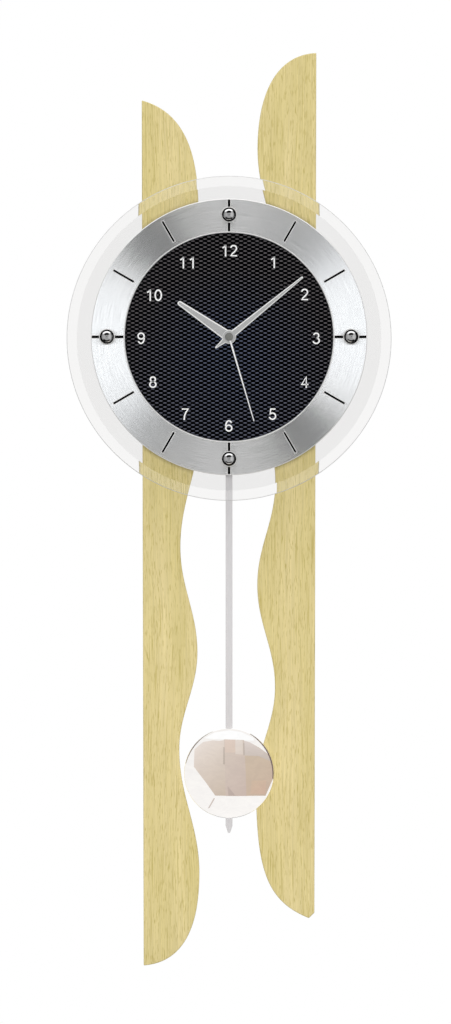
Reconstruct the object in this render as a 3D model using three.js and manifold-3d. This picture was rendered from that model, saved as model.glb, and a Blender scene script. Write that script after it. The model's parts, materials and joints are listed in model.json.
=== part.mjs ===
// A wall clock with a pendulum: two wavy wooden boards carry a moulded case, an aluminium dial and a
// bevelled glass held on four ball studs. A radio-controlled movement with two stepper motors, its
// motion work and a magnetically driven pendulum sit inside the case.
//
// Sizes are in millimetres. Pieces are drawn as seen from the front: x to the right, y up, and z from
// the wall towards the viewer. The finished group is turned once at the end so that Z is up.
// The origin is the nail that the keyhole hangs on, at the face of the wall.

import * as THREE from 'three';
import { mergeVertices } from 'three/addons/utils/BufferGeometryUtils.js';
import { ConvexGeometry } from 'three/addons/geometries/ConvexGeometry.js';
import Module from 'manifold-3d';

const wasm = await Module();
wasm.setup();

const degrees = (value) => (value * Math.PI) / 180;

// Clearances and allowances
const SEAT_GAP = 0.3; // between pieces that touch
const RUNNING_GAP = 0.3; // round a shaft or tube that turns
const CUT_PAST = 1; // how far a cutter reaches past what it cuts
const LAP = 0.5; // how far shapes that are joined run into each other

// Facets round each kind of round surface
const FACETS = {
  glass: 64,
  ring: 48,
  disc: 40,
  drum: 36,
  bob: 32,
  bush: 24,
  hub: 16,
  hole: 12,
  screw: 10,
  fine: 8,
  arbor: 6,
};

// Boards. The inner edge of a board swings between crests and troughs, listed from the top down as
// [x, y] from the dial's axis. The handles shape its sweep into the pointed ends.
const BOARD_THICKNESS = 15;
const BOARD_EASE = 0.8; // rounding of the front and back edges
const BOARD_OUTER_X = 67.4; // half of the clock's width over the boards
const BOARD_TAPER = 1.5; // how much a board narrows towards its lower end
const WAVE_EASE = 0.38; // share of a half wave that each curve handle takes
const LEFT_BOARD = {
  name: 'left_board',
  side: -1,
  topY: 182.9,
  topHandle: { length: 47.5, angle: degrees(14.9), end: 29 },
  turns: [
    [-23.6, 85.4],
    [-37.5, 11.6],
    [-22.4, -66.4],
    [-37.6, -161.9],
    [-24.4, -243.2],
    [-38.4, -318.2],
    [-22.9, -413.5],
  ],
  bottomHandle: { length: 38.7, angle: degrees(4.2), end: 26.6 },
  bottomY: -485,
  bottomChamfer: 0,
};
const RIGHT_BOARD = {
  name: 'right_board',
  side: 1,
  topY: 219.5,
  topHandle: { length: 31.5, angle: degrees(2.2), end: 41.5 },
  turns: [
    [22, 145.6],
    [35.2, 59.6],
    [21.9, -25.4],
    [35.7, -112.2],
    [21.8, -191.2],
    [35.5, -270],
    [20.9, -346.7],
  ],
  bottomHandle: { length: 34.5, angle: degrees(22.2), end: 66.2 },
  bottomY: -448.5,
  bottomChamfer: 4.3,
};

// Wall fixings
const HANGER_TO_DIAL = 70; // from the nail down to the dial's axis
const STRAP_THICKNESS = 1.2;
const STRAP_LENGTH = 116;
const STRAP_TOP = 13; // above the nail
const STRAP_BOTTOM = -21;
const STRAP_CORNER = 4;
const STRAP_SCREW_X = 50;
const STRAP_SCREW_LENGTH = 11;
const KEYHOLE_SLOT_RADIUS = 2.3;
const KEYHOLE_ENTRY_RADIUS = 5;
const KEYHOLE_DROP = 11;
const PAD_RADIUS = 7;
const PAD_X = 53;
const PAD_BELOW_DIAL = 420;

// Screws that hold the case to the boards
const SCREW_RADIUS = 1.8;
const SCREW_HEAD_RADIUS = 3.7;
const SCREW_HEAD_HEIGHT = 2.6;
const SCREW_HEAD_ROUND = 0.6;
const SCREW_HEAD_LAND = 0.2; // straight edge of a countersunk head
const DRIVE_SLOT_WIDTH = 1;
const DRIVE_SLOT_DEPTH = 1;
const CASE_SCREW_X = 50;
const CASE_SCREW_Y = 62;
const SCREW_TIP_GAP = 3; // from a screw's tip to the floor of its pilot hole
const PILOT_FLOOR = 2; // left in front of a pilot hole

// Rear case, a drum that is open at the back
const CASE_INSET = 4.5; // the case is smaller than the ring by this much all round
const CASE_DEPTH = 28.2;
const CASE_WALL = 2.5;
const CASE_EDGE_EASE = 1.5;
const CASE_DRAFT = 0.7; // the wall thins by this much towards its open edge
const BOSS_RADIUS = 5;
const RIB_THICKNESS = 1.8;
const RIB_HEIGHT = 6;
const RIB_INNER_RADIUS = 69;
const RIB_ANGLES = [15, 75, 105, 165, 195, 255, 285, 345].map(degrees);
const CRADLE_WALL = 2;
const CRADLE_HEIGHT = 4;
const SWING_CLEARANCE = 18; // half width of the case's slot for the pendulum rod
const ROD_SLOT_GAP = 5.7; // between the lever's front and the floor of that slot

// Dial
const PLATE_INSET = 2; // the dial plate is smaller than the ring by this much all round
const PLATE_THICKNESS = 2;
const NUT_POCKET_GAP = 1.5; // round the corners of the shaft nut
const RING_OUTER_RADIUS = 106.5;
const RING_WIDTH = 26.1;
const RING_THICKNESS = 2.5;
const RING_CHAMFER = 0.7;
const DISC_THICKNESS = 0.8;

// Glass and its studs
const GLASS_RADIUS = 125;
const GLASS_THICKNESS = 4;
const GLASS_EDGE = 2.8; // thickness left at the rim
const GLASS_DROP = 1.2; // the glass hangs on its studs, this far below the dial's axis
const BEVEL_WIDTH = 8;
const STUD_INSET = 12.5; // from the ring's outer edge to the studs
const STUD_RADIUS = 2;
const STUD_END = 1; // how far a stud shows behind its nut
const STUD_ANGLES = { 12: degrees(90), 3: 0, 6: degrees(-90), 9: degrees(180) };
const BALL_RADIUS = 5.5;
const BALL_SINK = 0.3; // how far the ball is let into its foot
const BALL_STEPS = 5;
const BALL_FOOT_RADIUS = 4;
const BALL_FOOT_HEIGHT = 1;
const SPACER_RADIUS = 6.1;
const SPACER_LENGTH = 12;
const STUD_NUT_WIDTH = 7; // across flats
const STUD_NUT_THICKNESS = 3.2;

// Hands. Each has a bevelled rim, and a boss that reaches behind the blade by its collet.
// The angle is clockwise from twelve, at the time shown.
const HOUR_HAND = {
  angle: degrees(304.25),
  length: 47.6,
  hubWidth: 8.3,
  tipWidth: 3.6,
  roundTip: true,
  tail: 4.15,
  tailWidth: 5.8,
  bevel: 1,
  thickness: 1,
  bossRadius: 5.4,
  collet: 1.2,
};
const MINUTE_HAND = {
  angle: degrees(50.95),
  length: 73.1,
  hubWidth: 5.4,
  tipWidth: 1.6,
  roundTip: false,
  tail: 13.6,
  tailWidth: 1.2,
  bevel: 0.9,
  thickness: 1,
  bossRadius: 5,
  collet: 0.6,
};
const SECOND_HAND = {
  angle: degrees(163.55),
  length: 67.8,
  hubWidth: 1.5,
  tipWidth: 0.8,
  roundTip: false,
  tail: 0.75,
  tailWidth: 1,
  bevel: 0.2,
  thickness: 0.6,
};
const HAND_EDGE = 0.55; // share of a hand's thickness that its edge has
const HAND_SPACING = 2.6; // from one hand's back to the next one's
const HOUR_HAND_RISE = 2.5; // the hour hand's back above the ring's face
const HUB_CAP_RADIUS = 3.1;
const HUB_CAP_HEIGHT = 1.6; // in front of the second hand
const HUB_CAP_EASE = 0.6;
const TUBE_PROUD = 0.3; // how far a hand's tube shows in front of the hand

// Movement
const MOVEMENT_WIDTH = 58;
const MOVEMENT_TOP = 58; // above the dial's axis
const MOVEMENT_BOTTOM = -36;
const MOVEMENT_DEPTH = 18.2;
const MOVEMENT_WALL = 1.5;
const MOVEMENT_CORNER = 3;
const BUSH_RADIUS = 4;
const SHAFT_NUT_WIDTH = 12; // across flats
const HOUR_TUBE_RADIUS = 2.6;
const MINUTE_TUBE_RADIUS = 1.8;
const SECOND_ARBOR_RADIUS = 0.8;
const ARBOR_RADIUS = 0.7;
const ARBOR_COLLAR_RADIUS = 1;
const BEARING_DEPTH = 0.7;

// Gears, in modules of each gear where no unit is given. A pair is a pinion and the wheel that it
// drives; its angle is where the wheel lies, anticlockwise from the right.
const ADDENDUM = 0.8;
const DEDENDUM = 1.15;
const TOOTH_ROOT = 0.5; // share of a tooth's step at its root
const TOOTH_TIP = 0.2; // and at its tip
const HUB_MODULES = 3;
const FACE_WIDTH = 1; // millimetres
const PINION_EXTRA = 0.2; // millimetres, that a pinion is wider than its wheel on each side
const LAYER_GAP = 0.4; // millimetres
const END_PLAY = 0.5; // millimetres, between the front cover and the hour wheel
const MOTION = { module: 0.6, pinion: 8, wheel: 24, angle: degrees(200) };
const HOUR = { pinion: 8, wheel: 32 };
const MINUTE = { module: 0.48, pinion: 6, wheel: 36, angle: degrees(40) };
const MINUTE_MOTOR = { module: 0.48, pinion: 6, wheel: 30, angle: degrees(5) };
const SECOND = { module: 0.56, pinion: 6, wheel: 30, angle: degrees(-60) };
const SECOND_MOTOR = { module: 0.4, pinion: 6, wheel: 36, angle: degrees(-20) };

// Stepper motors
const ROTOR_RADIUS = 3.2;
const ROTOR_THICKNESS = 1.8;
const ROTOR_ARBOR_RADIUS = 0.6;
const ROTOR_COLLAR_RADIUS = 0.8;
const ROTOR_AIR_GAP = 0.5;
const STATOR_THICKNESS = 1;
const STATOR_LEFT = 6; // from the rotor's axis to the end of the pole pieces
const STATOR_ARM = 1.5;
const STATOR_CORNER = 1;
const POLE_WEB = 0.6; // the narrow sheet between the bore and the window
const CORE_X = 24;
const CORE_WIDTH = 1.6;
const COIL_LENGTH = 12.4;
const COIL_RADIUS = 2.1;
const COIL_CHEEK = 0.8;
const COIL_CHEEK_RADIUS = 2.6;

// Battery, antenna, circuit board and buttons
const BATTERY_RADIUS = 7.1;
const BATTERY_LENGTH = 50.5;
const BATTERY_NIPPLE_RADIUS = 2.7;
const BATTERY_NIPPLE_LENGTH = 1;
const BATTERY_Y = 46;
const BATTERY_RECESS = 0.9; // the battery lies this far inside the movement's back
const TUB_WALL = 1;
const CONTACT_THICKNESS = 0.35;
const CONTACT_HEIGHT = 8;
const CONTACT_GAP = 0.1;
const CIRCUIT_HEIGHT = 15;
const CIRCUIT_THICKNESS = 1.2;
const CIRCUIT_MARGIN = 0.5; // between the circuit board and the cover's lower wall
const CIRCUIT_SIDE_MARGIN = 1;
const CIRCUIT_SETBACK = 2; // from the front cover's inner face
const CHIPS = [
  { left: -16, bottom: 4, width: 7, height: 7, proud: 1.4 },
  { left: 4, bottom: 3, width: 4, height: 6, proud: 2 },
  { left: 14, bottom: 2, width: 8, height: 3, proud: 1.8 },
];
const ANTENNA_Y = 30.5;
const ANTENNA_SETBACK = 6; // from the front cover's inner face
const ANTENNA_RADIUS = 3;
const ANTENNA_LENGTH = 50;
const WINDING_LENGTH = 20;
const WINDING_THICKNESS = 1.2;
const BUTTON_RADIUS = 2.25;
const BUTTON_X = 13;
const BUTTON_Y = 30;
const BUTTON_PROUD = 1.2;
const BUTTON_CHAMFER = 0.4;
const FLANGE_RADIUS = 3.2;
const FLANGE_THICKNESS = 0.8;

// Pendulum, hanging straight down
const PIVOT_Y = 24; // above the dial's axis
const PIVOT_RADIUS = 1.2;
const PIVOT_PIN_PROUD = 1; // behind the lever
const LEVER_WIDTH = 8;
const LEVER_THICKNESS = 1.5;
const LEVER_GAP = 2.7; // between the lever and the movement
const LEVER_HEAD = 5; // from the pivot to the top of the lever
const LEVER_FOOT_RADIUS = 6.5;
const MAGNET_Y = -25;
const MAGNET_RADIUS = 4;
const MAGNET_GAP = 0.5; // between the magnet and the movement
const DRIVE_COIL_RADIUS = 5;
const DRIVE_COIL_BORE = 1.5;
const DRIVE_COIL_LENGTH = 3;
const HOOK_Y = -33;
const HOOK_RADIUS = 1.6;
const HOOK_PROUD = 0.5; // behind the rod
const ROD_WIDTH = 5.2;
const ROD_THICKNESS = 1.2;
const ROD_EYE = 4; // from the hook's axis to the rod's top
const ROD_TIP_Y = -382.6;
const ROD_POINT = 5.5; // length of the pointed tip
const ROD_TIP_WIDTH = 1.6;
const BOB_Y = -336.5;
const BOB_RADIUS = 34.6;
const BOB_HEIGHT = 9.5;
const BOB_WALL = 1;
const BOB_RIM = 1.4; // straight height of the rolled rim
const BOB_RIM_EASE = 0.6;
const CLIP_SHEET = 0.6;
const CLIP_LENGTH = 30;

// Depths from the wall, each standing on the one before
const boardBack = STRAP_THICKNESS + SEAT_GAP;
const boardFront = boardBack + BOARD_THICKNESS;
const caseBack = boardFront + SEAT_GAP;
const caseFront = caseBack + CASE_DEPTH;
const caseInside = caseFront - CASE_WALL;
const plateBack = caseFront + SEAT_GAP;
const plateFront = plateBack + PLATE_THICKNESS;
const ringBack = plateFront + SEAT_GAP;
const ringFront = ringBack + RING_THICKNESS;
const discFront = ringBack + DISC_THICKNESS;
const spacerBack = ringFront + SEAT_GAP;
const spacerFront = spacerBack + SPACER_LENGTH;
const glassBack = spacerFront + SEAT_GAP;
const glassFront = glassBack + GLASS_THICKNESS;
const studNutFront = caseInside - SEAT_GAP;
const studNutBack = studNutFront - STUD_NUT_THICKNESS;
const movementFront = caseInside - SEAT_GAP;
const movementBack = movementFront - MOVEMENT_DEPTH;
const movementInsideFront = movementFront - MOVEMENT_WALL;
const movementInsideBack = movementBack + MOVEMENT_WALL;
const hourHandBack = ringFront + HOUR_HAND_RISE;
const hourHandFront = hourHandBack + HOUR_HAND.thickness;
const minuteHandBack = hourHandBack + HAND_SPACING;
const minuteHandFront = minuteHandBack + MINUTE_HAND.thickness;
const secondHandBack = minuteHandBack + HAND_SPACING;
const secondHandFront = secondHandBack + SECOND_HAND.thickness;
const leverFront = movementBack - LEVER_GAP;
const leverBack = leverFront - LEVER_THICKNESS;
const rodFront = leverBack - SEAT_GAP;
const rodBack = rodFront - ROD_THICKNESS;
const bobBack = rodFront + SEAT_GAP;

// Radii that follow the ring
const caseRadius = RING_OUTER_RADIUS - CASE_INSET;
const plateRadius = RING_OUTER_RADIUS - PLATE_INSET;
const ringInnerRadius = RING_OUTER_RADIUS - RING_WIDTH;
const studCircleRadius = RING_OUTER_RADIUS - STUD_INSET;

// Materials
const material = (color, roughness, metalness) =>
  () => new THREE.MeshStandardMaterial({ color, roughness, metalness });
const paleWood = material(0xd9c891, 0.55, 0);
const blackPlastic = material(0x1b1b1d, 0.6, 0);
const whitePlastic = material(0xe6e4de, 0.5, 0);
const darkDial = material(0x1f222b, 0.7, 0);
const brushedAluminium = material(0xc9cbca, 0.35, 1);
const chrome = material(0xe9e9ea, 0.08, 1);
const steel = material(0xb4b5b6, 0.4, 1);
const darkSteel = material(0x77787a, 0.45, 1);
const copper = material(0xb0643a, 0.45, 1);
const brass = material(0xc4a25a, 0.35, 1);
const handMetal = material(0xcbc8c4, 0.3, 1);
const clearGlass = () =>
  new THREE.MeshStandardMaterial({ color: 0xeef3f1, roughness: 0.05, transparent: true, opacity: 0.3 });
const ferrite = material(0x35353a, 0.8, 0);
const circuitGreen = material(0x2f6a45, 0.55, 0);
const grayFelt = material(0x6d6c6a, 0.95, 0);
const batterySleeve = material(0x3d6fa0, 0.4, 0.2);

// A closed geometry as a solid that can be cut and joined
function toSolid(geometry) {
  const bare = geometry.clone();
  bare.deleteAttribute('normal');
  bare.deleteAttribute('uv');
  const merged = mergeVertices(bare, 1e-4);
  return new wasm.Manifold(
    new wasm.Mesh({
      numProp: 3,
      vertProperties: new Float32Array(merged.attributes.position.array),
      triVerts: new Uint32Array(merged.index.array),
    })
  );
}

function toGeometry(solid) {
  const mesh = solid.getMesh();
  const geometry = new THREE.BufferGeometry();
  geometry.setAttribute('position', new THREE.BufferAttribute(mesh.vertProperties, 3));
  geometry.setIndex(new THREE.BufferAttribute(mesh.triVerts, 1));
  const faceted = geometry.toNonIndexed();
  faceted.computeVertexNormals();
  return faceted;
}

const joined = (...solids) => solids.reduce((all, solid) => all.add(solid));

const onCircle = (radius, angle, x = 0, y = 0) => [
  x + radius * Math.cos(angle),
  y + radius * Math.sin(angle),
];

// Flat shapes, drawn as seen from the front
function circle(radius, x = 0, y = 0) {
  return new THREE.Shape().absarc(x, y, radius, 0, 2 * Math.PI);
}

function polygon(points) {
  return new THREE.Shape(points.map(([x, y]) => new THREE.Vector2(x, y)));
}

function roundedBox(left, right, bottom, top, corner) {
  const shape = new THREE.Shape();
  shape.absarc(right - corner, top - corner, corner, 0, Math.PI / 2);
  shape.absarc(left + corner, top - corner, corner, Math.PI / 2, Math.PI);
  shape.absarc(left + corner, bottom + corner, corner, Math.PI, 1.5 * Math.PI);
  shape.absarc(right - corner, bottom + corner, corner, 1.5 * Math.PI, 2 * Math.PI);
  return shape;
}

function hexagon(acrossFlats) {
  const radius = acrossFlats / Math.sqrt(3);
  return polygon([0, 60, 120, 180, 240, 300].map((angle) => onCircle(radius, degrees(angle))));
}

// A flat shape given thickness between two depths
function slab(shape, back, front, curveSegments = 1) {
  const options = { depth: front - back, bevelEnabled: false, curveSegments };
  return toSolid(new THREE.ExtrudeGeometry(shape, options).translate(0, 0, back));
}

const cylinder = (radius, back, front, x = 0, y = 0, facets = FACETS.bush) =>
  slab(circle(radius, x, y), back, front, facets / 2);

function block(left, right, bottom, top, back, front) {
  const geometry = new THREE.BoxGeometry(right - left, top - bottom, front - back);
  return toSolid(geometry.translate((left + right) / 2, (bottom + top) / 2, (back + front) / 2));
}

// A profile of [radius, depth] points turned about the z axis
function turned(profile, facets) {
  const points = profile.map(([radius, depth]) => new THREE.Vector2(radius, depth));
  return toSolid(new THREE.LatheGeometry(points, facets).rotateX(Math.PI / 2));
}

// A round bar along x, for the battery and the antenna
function barAlongX(radius, left, right, y, z, facets = FACETS.hub) {
  const geometry = new THREE.CylinderGeometry(radius, radius, right - left, facets);
  return toSolid(geometry.rotateZ(Math.PI / 2).translate((left + right) / 2, y, z));
}

const clock = new THREE.Group();
const dialGroup = new THREE.Group();
dialGroup.position.y = -HANGER_TO_DIAL;
clock.add(dialGroup);

function addPiece(parent, name, solid, makeMaterial) {
  const mesh = new THREE.Mesh(toGeometry(solid), makeMaterial());
  mesh.name = name;
  parent.add(mesh);
  return mesh;
}

// Boards
function boardShape({ side, topY, topHandle, turns, bottomHandle, bottomY, bottomChamfer }) {
  const topX = side * BOARD_OUTER_X;
  const bottomX = side * (BOARD_OUTER_X - BOARD_TAPER);
  const footX = bottomX - side * bottomChamfer;
  const [firstX, firstY] = turns[0];
  const [lastX, lastY] = turns[turns.length - 1];
  const [topOut, topDown] = onCircle(topHandle.length, topHandle.angle);
  const [bottomOut, bottomUp] = onCircle(bottomHandle.length, bottomHandle.angle);
  const shape = new THREE.Shape();
  shape.moveTo(topX, topY);
  shape.bezierCurveTo(topX - side * topOut, topY - topDown, firstX, firstY + topHandle.end, firstX, firstY);
  for (let k = 1; k < turns.length; k++) {
    const [fromX, fromY] = turns[k - 1];
    const [toX, toY] = turns[k];
    const handle = (fromY - toY) * WAVE_EASE;
    shape.bezierCurveTo(fromX, fromY - handle, toX, toY + handle, toX, toY);
  }
  shape.bezierCurveTo(
    lastX,
    lastY - bottomHandle.end,
    footX - side * bottomOut,
    bottomY + bottomUp,
    footX,
    bottomY
  );
  if (bottomChamfer) shape.lineTo(bottomX, bottomY + bottomChamfer);
  shape.closePath();
  return shape;
}

// A counterbored hole for a case screw
function screwHole(x, y) {
  const shank = cylinder(
    SCREW_RADIUS + SEAT_GAP,
    boardBack - CUT_PAST,
    boardFront + CUT_PAST,
    x,
    y,
    FACETS.hole
  );
  const headFloor = boardBack + SCREW_HEAD_HEIGHT + 2 * SEAT_GAP;
  const head = cylinder(SCREW_HEAD_RADIUS + SEAT_GAP, boardBack - CUT_PAST, headFloor, x, y, FACETS.hole);
  return shank.add(head);
}

function boardSolid(board) {
  const geometry = new THREE.ExtrudeGeometry(boardShape(board), {
    depth: BOARD_THICKNESS - 2 * BOARD_EASE,
    bevelThickness: BOARD_EASE,
    bevelSize: BOARD_EASE,
    bevelOffset: -BOARD_EASE,
    bevelSegments: 1,
    curveSegments: 6,
  });
  const body = toSolid(geometry.translate(0, 0, boardBack + BOARD_EASE));
  const strapHole = cylinder(
    SCREW_RADIUS + SEAT_GAP,
    boardBack - CUT_PAST,
    boardBack + STRAP_SCREW_LENGTH,
    board.side * STRAP_SCREW_X,
    HANGER_TO_DIAL,
    FACETS.hole
  );
  return body
    .subtract(screwHole(board.side * CASE_SCREW_X, CASE_SCREW_Y))
    .subtract(screwHole(board.side * CASE_SCREW_X, -CASE_SCREW_Y))
    .subtract(strapHole);
}

for (const board of [LEFT_BOARD, RIGHT_BOARD]) {
  addPiece(dialGroup, board.name, boardSolid(board), paleWood);
}

// Hanger strap with its keyhole, screws and the pads that keep the boards off the wall
function strapSolid() {
  const half = STRAP_LENGTH / 2;
  const outline = roundedBox(-half, half, STRAP_BOTTOM, STRAP_TOP, STRAP_CORNER);
  const plate = slab(outline, 0, STRAP_THICKNESS, 2);
  const back = -CUT_PAST;
  const front = STRAP_THICKNESS + CUT_PAST;
  const slot = block(-KEYHOLE_SLOT_RADIUS, KEYHOLE_SLOT_RADIUS, -KEYHOLE_DROP, 0, back, front);
  const slotEnd = cylinder(KEYHOLE_SLOT_RADIUS, back, front, 0, 0, FACETS.hub);
  const entry = cylinder(KEYHOLE_ENTRY_RADIUS, back, front, 0, -KEYHOLE_DROP, FACETS.bush);
  let strap = plate.subtract(joined(slot, slotEnd, entry));
  for (const side of [-1, 1]) strap = strap.subtract(countersunk(side * STRAP_SCREW_X, SEAT_GAP, -CUT_PAST));
  return strap;
}

// A countersunk screw sunk into the strap; grown by a clearance it is the hole for one
function countersunk(x, clearance, back) {
  const head = SCREW_HEAD_RADIUS + clearance;
  const shank = SCREW_RADIUS + clearance;
  const profile = [
    [0, back],
    [head, back],
    [head, SCREW_HEAD_LAND],
    [shank, STRAP_THICKNESS],
    [shank, STRAP_SCREW_LENGTH],
    [0, STRAP_SCREW_LENGTH],
  ];
  return turned(profile, FACETS.hole).translate([x, 0, 0]);
}

addPiece(clock, 'hanger_strap', strapSolid(), steel);
for (const [name, side] of [['left', -1], ['right', 1]]) {
  const screw = countersunk(side * STRAP_SCREW_X, 0, SCREW_HEAD_LAND / 2);
  addPiece(clock, `strap_screw_${name}`, screw, darkSteel);
  const pad = cylinder(PAD_RADIUS, 0, STRAP_THICKNESS, side * PAD_X, -PAD_BELOW_DIAL);
  addPiece(dialGroup, `wall_pad_${name}`, pad, grayFelt);
}

// Rear case: an open-backed drum with screw bosses, stiffening ribs and a cradle for the movement
const studPlaces = Object.entries(STUD_ANGLES).map(([hour, angle]) => ({
  hour,
  place: onCircle(studCircleRadius, angle),
}));

const corners = [
  ['upper_left', -1, 1],
  ['upper_right', 1, 1],
  ['lower_left', -1, -1],
  ['lower_right', 1, -1],
];

function rib(innerRadius, outerRadius, angle) {
  const bar = new THREE.BoxGeometry(outerRadius - innerRadius, RIB_THICKNESS, RIB_HEIGHT);
  bar.translate((innerRadius + outerRadius) / 2, 0, caseInside - RIB_HEIGHT / 2);
  return toSolid(bar.rotateZ(angle));
}

function casePillars(radius, back, front) {
  return corners.map(([, sx, sy]) =>
    cylinder(radius, back, front, sx * CASE_SCREW_X, sy * CASE_SCREW_Y, FACETS.screw)
  );
}

function studHoles(back, front, radius = STUD_RADIUS + SEAT_GAP) {
  const holes = studPlaces.map(({ place }) => cylinder(radius, back, front, ...place, FACETS.fine));
  return joined(...holes);
}

function movementOutline(margin, back, front) {
  const half = MOVEMENT_WIDTH / 2 + margin;
  const bottom = MOVEMENT_BOTTOM - margin;
  const outline = roundedBox(-half, half, bottom, MOVEMENT_TOP + margin, MOVEMENT_CORNER + margin);
  return slab(outline, back, front, 2);
}

function caseSolid() {
  const inner = caseRadius - CASE_WALL;
  const drumProfile = [
    [0, caseInside],
    [inner, caseInside],
    [inner + CASE_DRAFT, caseBack],
    [caseRadius, caseBack],
    [caseRadius, caseFront - CASE_EDGE_EASE],
    [caseRadius - CASE_EDGE_EASE, caseFront],
    [0, caseFront],
  ];
  const ribEnd = inner + CASE_WALL / 2;
  const ribs = RIB_ANGLES.map((angle) => rib(RIB_INNER_RADIUS, ribEnd, angle));
  const bossReach = Math.hypot(CASE_SCREW_X, CASE_SCREW_Y);
  const gussets = corners.map(([, sx, sy]) =>
    rib(bossReach, ribEnd, Math.atan2(sy * CASE_SCREW_Y, sx * CASE_SCREW_X))
  );
  const bosses = casePillars(BOSS_RADIUS, caseBack, caseInside + LAP);
  const pilotHoles = casePillars(SCREW_RADIUS + SEAT_GAP, caseBack - CUT_PAST, caseInside - PILOT_FLOOR);
  const cradleBack = caseInside - CRADLE_HEIGHT;
  const cradle = movementOutline(SEAT_GAP + CRADLE_WALL, cradleBack, caseInside + LAP).subtract(
    movementOutline(SEAT_GAP, cradleBack - CUT_PAST, caseInside)
  );
  const rodSlot = block(
    -SWING_CLEARANCE,
    SWING_CLEARANCE,
    -caseRadius - CUT_PAST,
    -caseRadius / 2,
    caseBack - CUT_PAST,
    leverFront + ROD_SLOT_GAP
  );
  return joined(turned(drumProfile, FACETS.drum), ...ribs, ...gussets, ...bosses, cradle)
    .subtract(joined(...pilotHoles))
    .subtract(rodSlot)
    .subtract(cylinder(BUSH_RADIUS + SEAT_GAP, caseInside - CUT_PAST, caseFront + CUT_PAST))
    .subtract(studHoles(caseInside - CUT_PAST, caseFront + CUT_PAST));
}

addPiece(dialGroup, 'rear_case', caseSolid(), blackPlastic);

function caseScrew(x, y) {
  const headBack = boardBack + SEAT_GAP;
  const tip = caseInside - PILOT_FLOOR - SCREW_TIP_GAP;
  const profile = [
    [0, headBack],
    [SCREW_HEAD_RADIUS - SCREW_HEAD_ROUND, headBack],
    [SCREW_HEAD_RADIUS, headBack + SCREW_HEAD_ROUND],
    [SCREW_HEAD_RADIUS, headBack + SCREW_HEAD_HEIGHT],
    [SCREW_RADIUS, headBack + SCREW_HEAD_HEIGHT],
    [SCREW_RADIUS, tip - SCREW_RADIUS],
    [0, tip],
  ];
  const driveSlot = block(
    -SCREW_HEAD_RADIUS,
    SCREW_HEAD_RADIUS,
    -DRIVE_SLOT_WIDTH / 2,
    DRIVE_SLOT_WIDTH / 2,
    headBack - CUT_PAST,
    headBack + DRIVE_SLOT_DEPTH
  );
  return turned(profile, FACETS.screw).subtract(driveSlot).translate([x, y, 0]);
}

for (const [corner, sx, sy] of corners) {
  addPiece(dialGroup, `case_screw_${corner}`, caseScrew(sx * CASE_SCREW_X, sy * CASE_SCREW_Y), darkSteel);
}

// Dial plate, dial disc and ring
const nutPocketRadius = SHAFT_NUT_WIDTH / Math.sqrt(3) + NUT_POCKET_GAP;
const dialPlate = cylinder(plateRadius, plateBack, plateFront, 0, 0, FACETS.disc)
  .subtract(cylinder(nutPocketRadius, plateBack - CUT_PAST, plateFront + CUT_PAST))
  .subtract(studHoles(plateBack - CUT_PAST, plateFront + CUT_PAST));
addPiece(dialGroup, 'dial_plate', dialPlate, steel);

const dialDisc = cylinder(ringInnerRadius - SEAT_GAP, ringBack, discFront, 0, 0, FACETS.ring)
  .subtract(cylinder(HOUR_TUBE_RADIUS + RUNNING_GAP, ringBack - CUT_PAST, discFront + CUT_PAST));
addPiece(dialGroup, 'dial_disc', dialDisc, darkDial);

const ringProfile = [
  [ringInnerRadius, ringBack],
  [RING_OUTER_RADIUS, ringBack],
  [RING_OUTER_RADIUS, ringFront - RING_CHAMFER / 2],
  [RING_OUTER_RADIUS - RING_CHAMFER / 2, ringFront],
  [ringInnerRadius + RING_CHAMFER, ringFront],
  [ringInnerRadius, ringFront - RING_CHAMFER],
  [ringInnerRadius, ringBack],
];
const dialRing = turned(ringProfile, FACETS.ring)
  .subtract(studHoles(ringBack - CUT_PAST, ringFront + CUT_PAST));
addPiece(dialGroup, 'dial_ring', dialRing, brushedAluminium);

// Glass, hanging on the four studs that clamp it. Its holes are oversize by as much as it hangs low.
const glassProfile = [
  [0, glassBack],
  [GLASS_RADIUS, glassBack],
  [GLASS_RADIUS, glassBack + GLASS_EDGE],
  [GLASS_RADIUS - BEVEL_WIDTH, glassFront],
  [0, glassFront],
];
const glassHoleRadius = STUD_RADIUS + SEAT_GAP + GLASS_DROP;
const glass = turned(glassProfile, FACETS.glass)
  .subtract(studHoles(glassBack - CUT_PAST, glassFront + CUT_PAST, glassHoleRadius))
  .translate([0, -GLASS_DROP, 0]);
addPiece(dialGroup, 'glass_disc', glass, clearGlass);

function ballStud() {
  const footBack = glassFront + SEAT_GAP;
  const ballSeat = footBack + BALL_FOOT_HEIGHT;
  const ballCentre = ballSeat + Math.sqrt(BALL_RADIUS ** 2 - BALL_FOOT_RADIUS ** 2) - BALL_SINK;
  const start = Math.asin((ballSeat - ballCentre) / BALL_RADIUS);
  const arc = [];
  for (let k = 0; k < BALL_STEPS; k++) {
    const angle = start + ((Math.PI / 2 - start) * k) / BALL_STEPS;
    arc.push([BALL_RADIUS * Math.cos(angle), ballCentre + BALL_RADIUS * Math.sin(angle)]);
  }
  const profile = [
    [0, studNutBack - STUD_END],
    [STUD_RADIUS, studNutBack - STUD_END],
    [STUD_RADIUS, footBack],
    [BALL_FOOT_RADIUS, footBack],
    [BALL_FOOT_RADIUS, ballSeat],
    ...arc,
    [0, ballCentre + BALL_RADIUS],
  ];
  return turned(profile, FACETS.hole);
}

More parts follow.
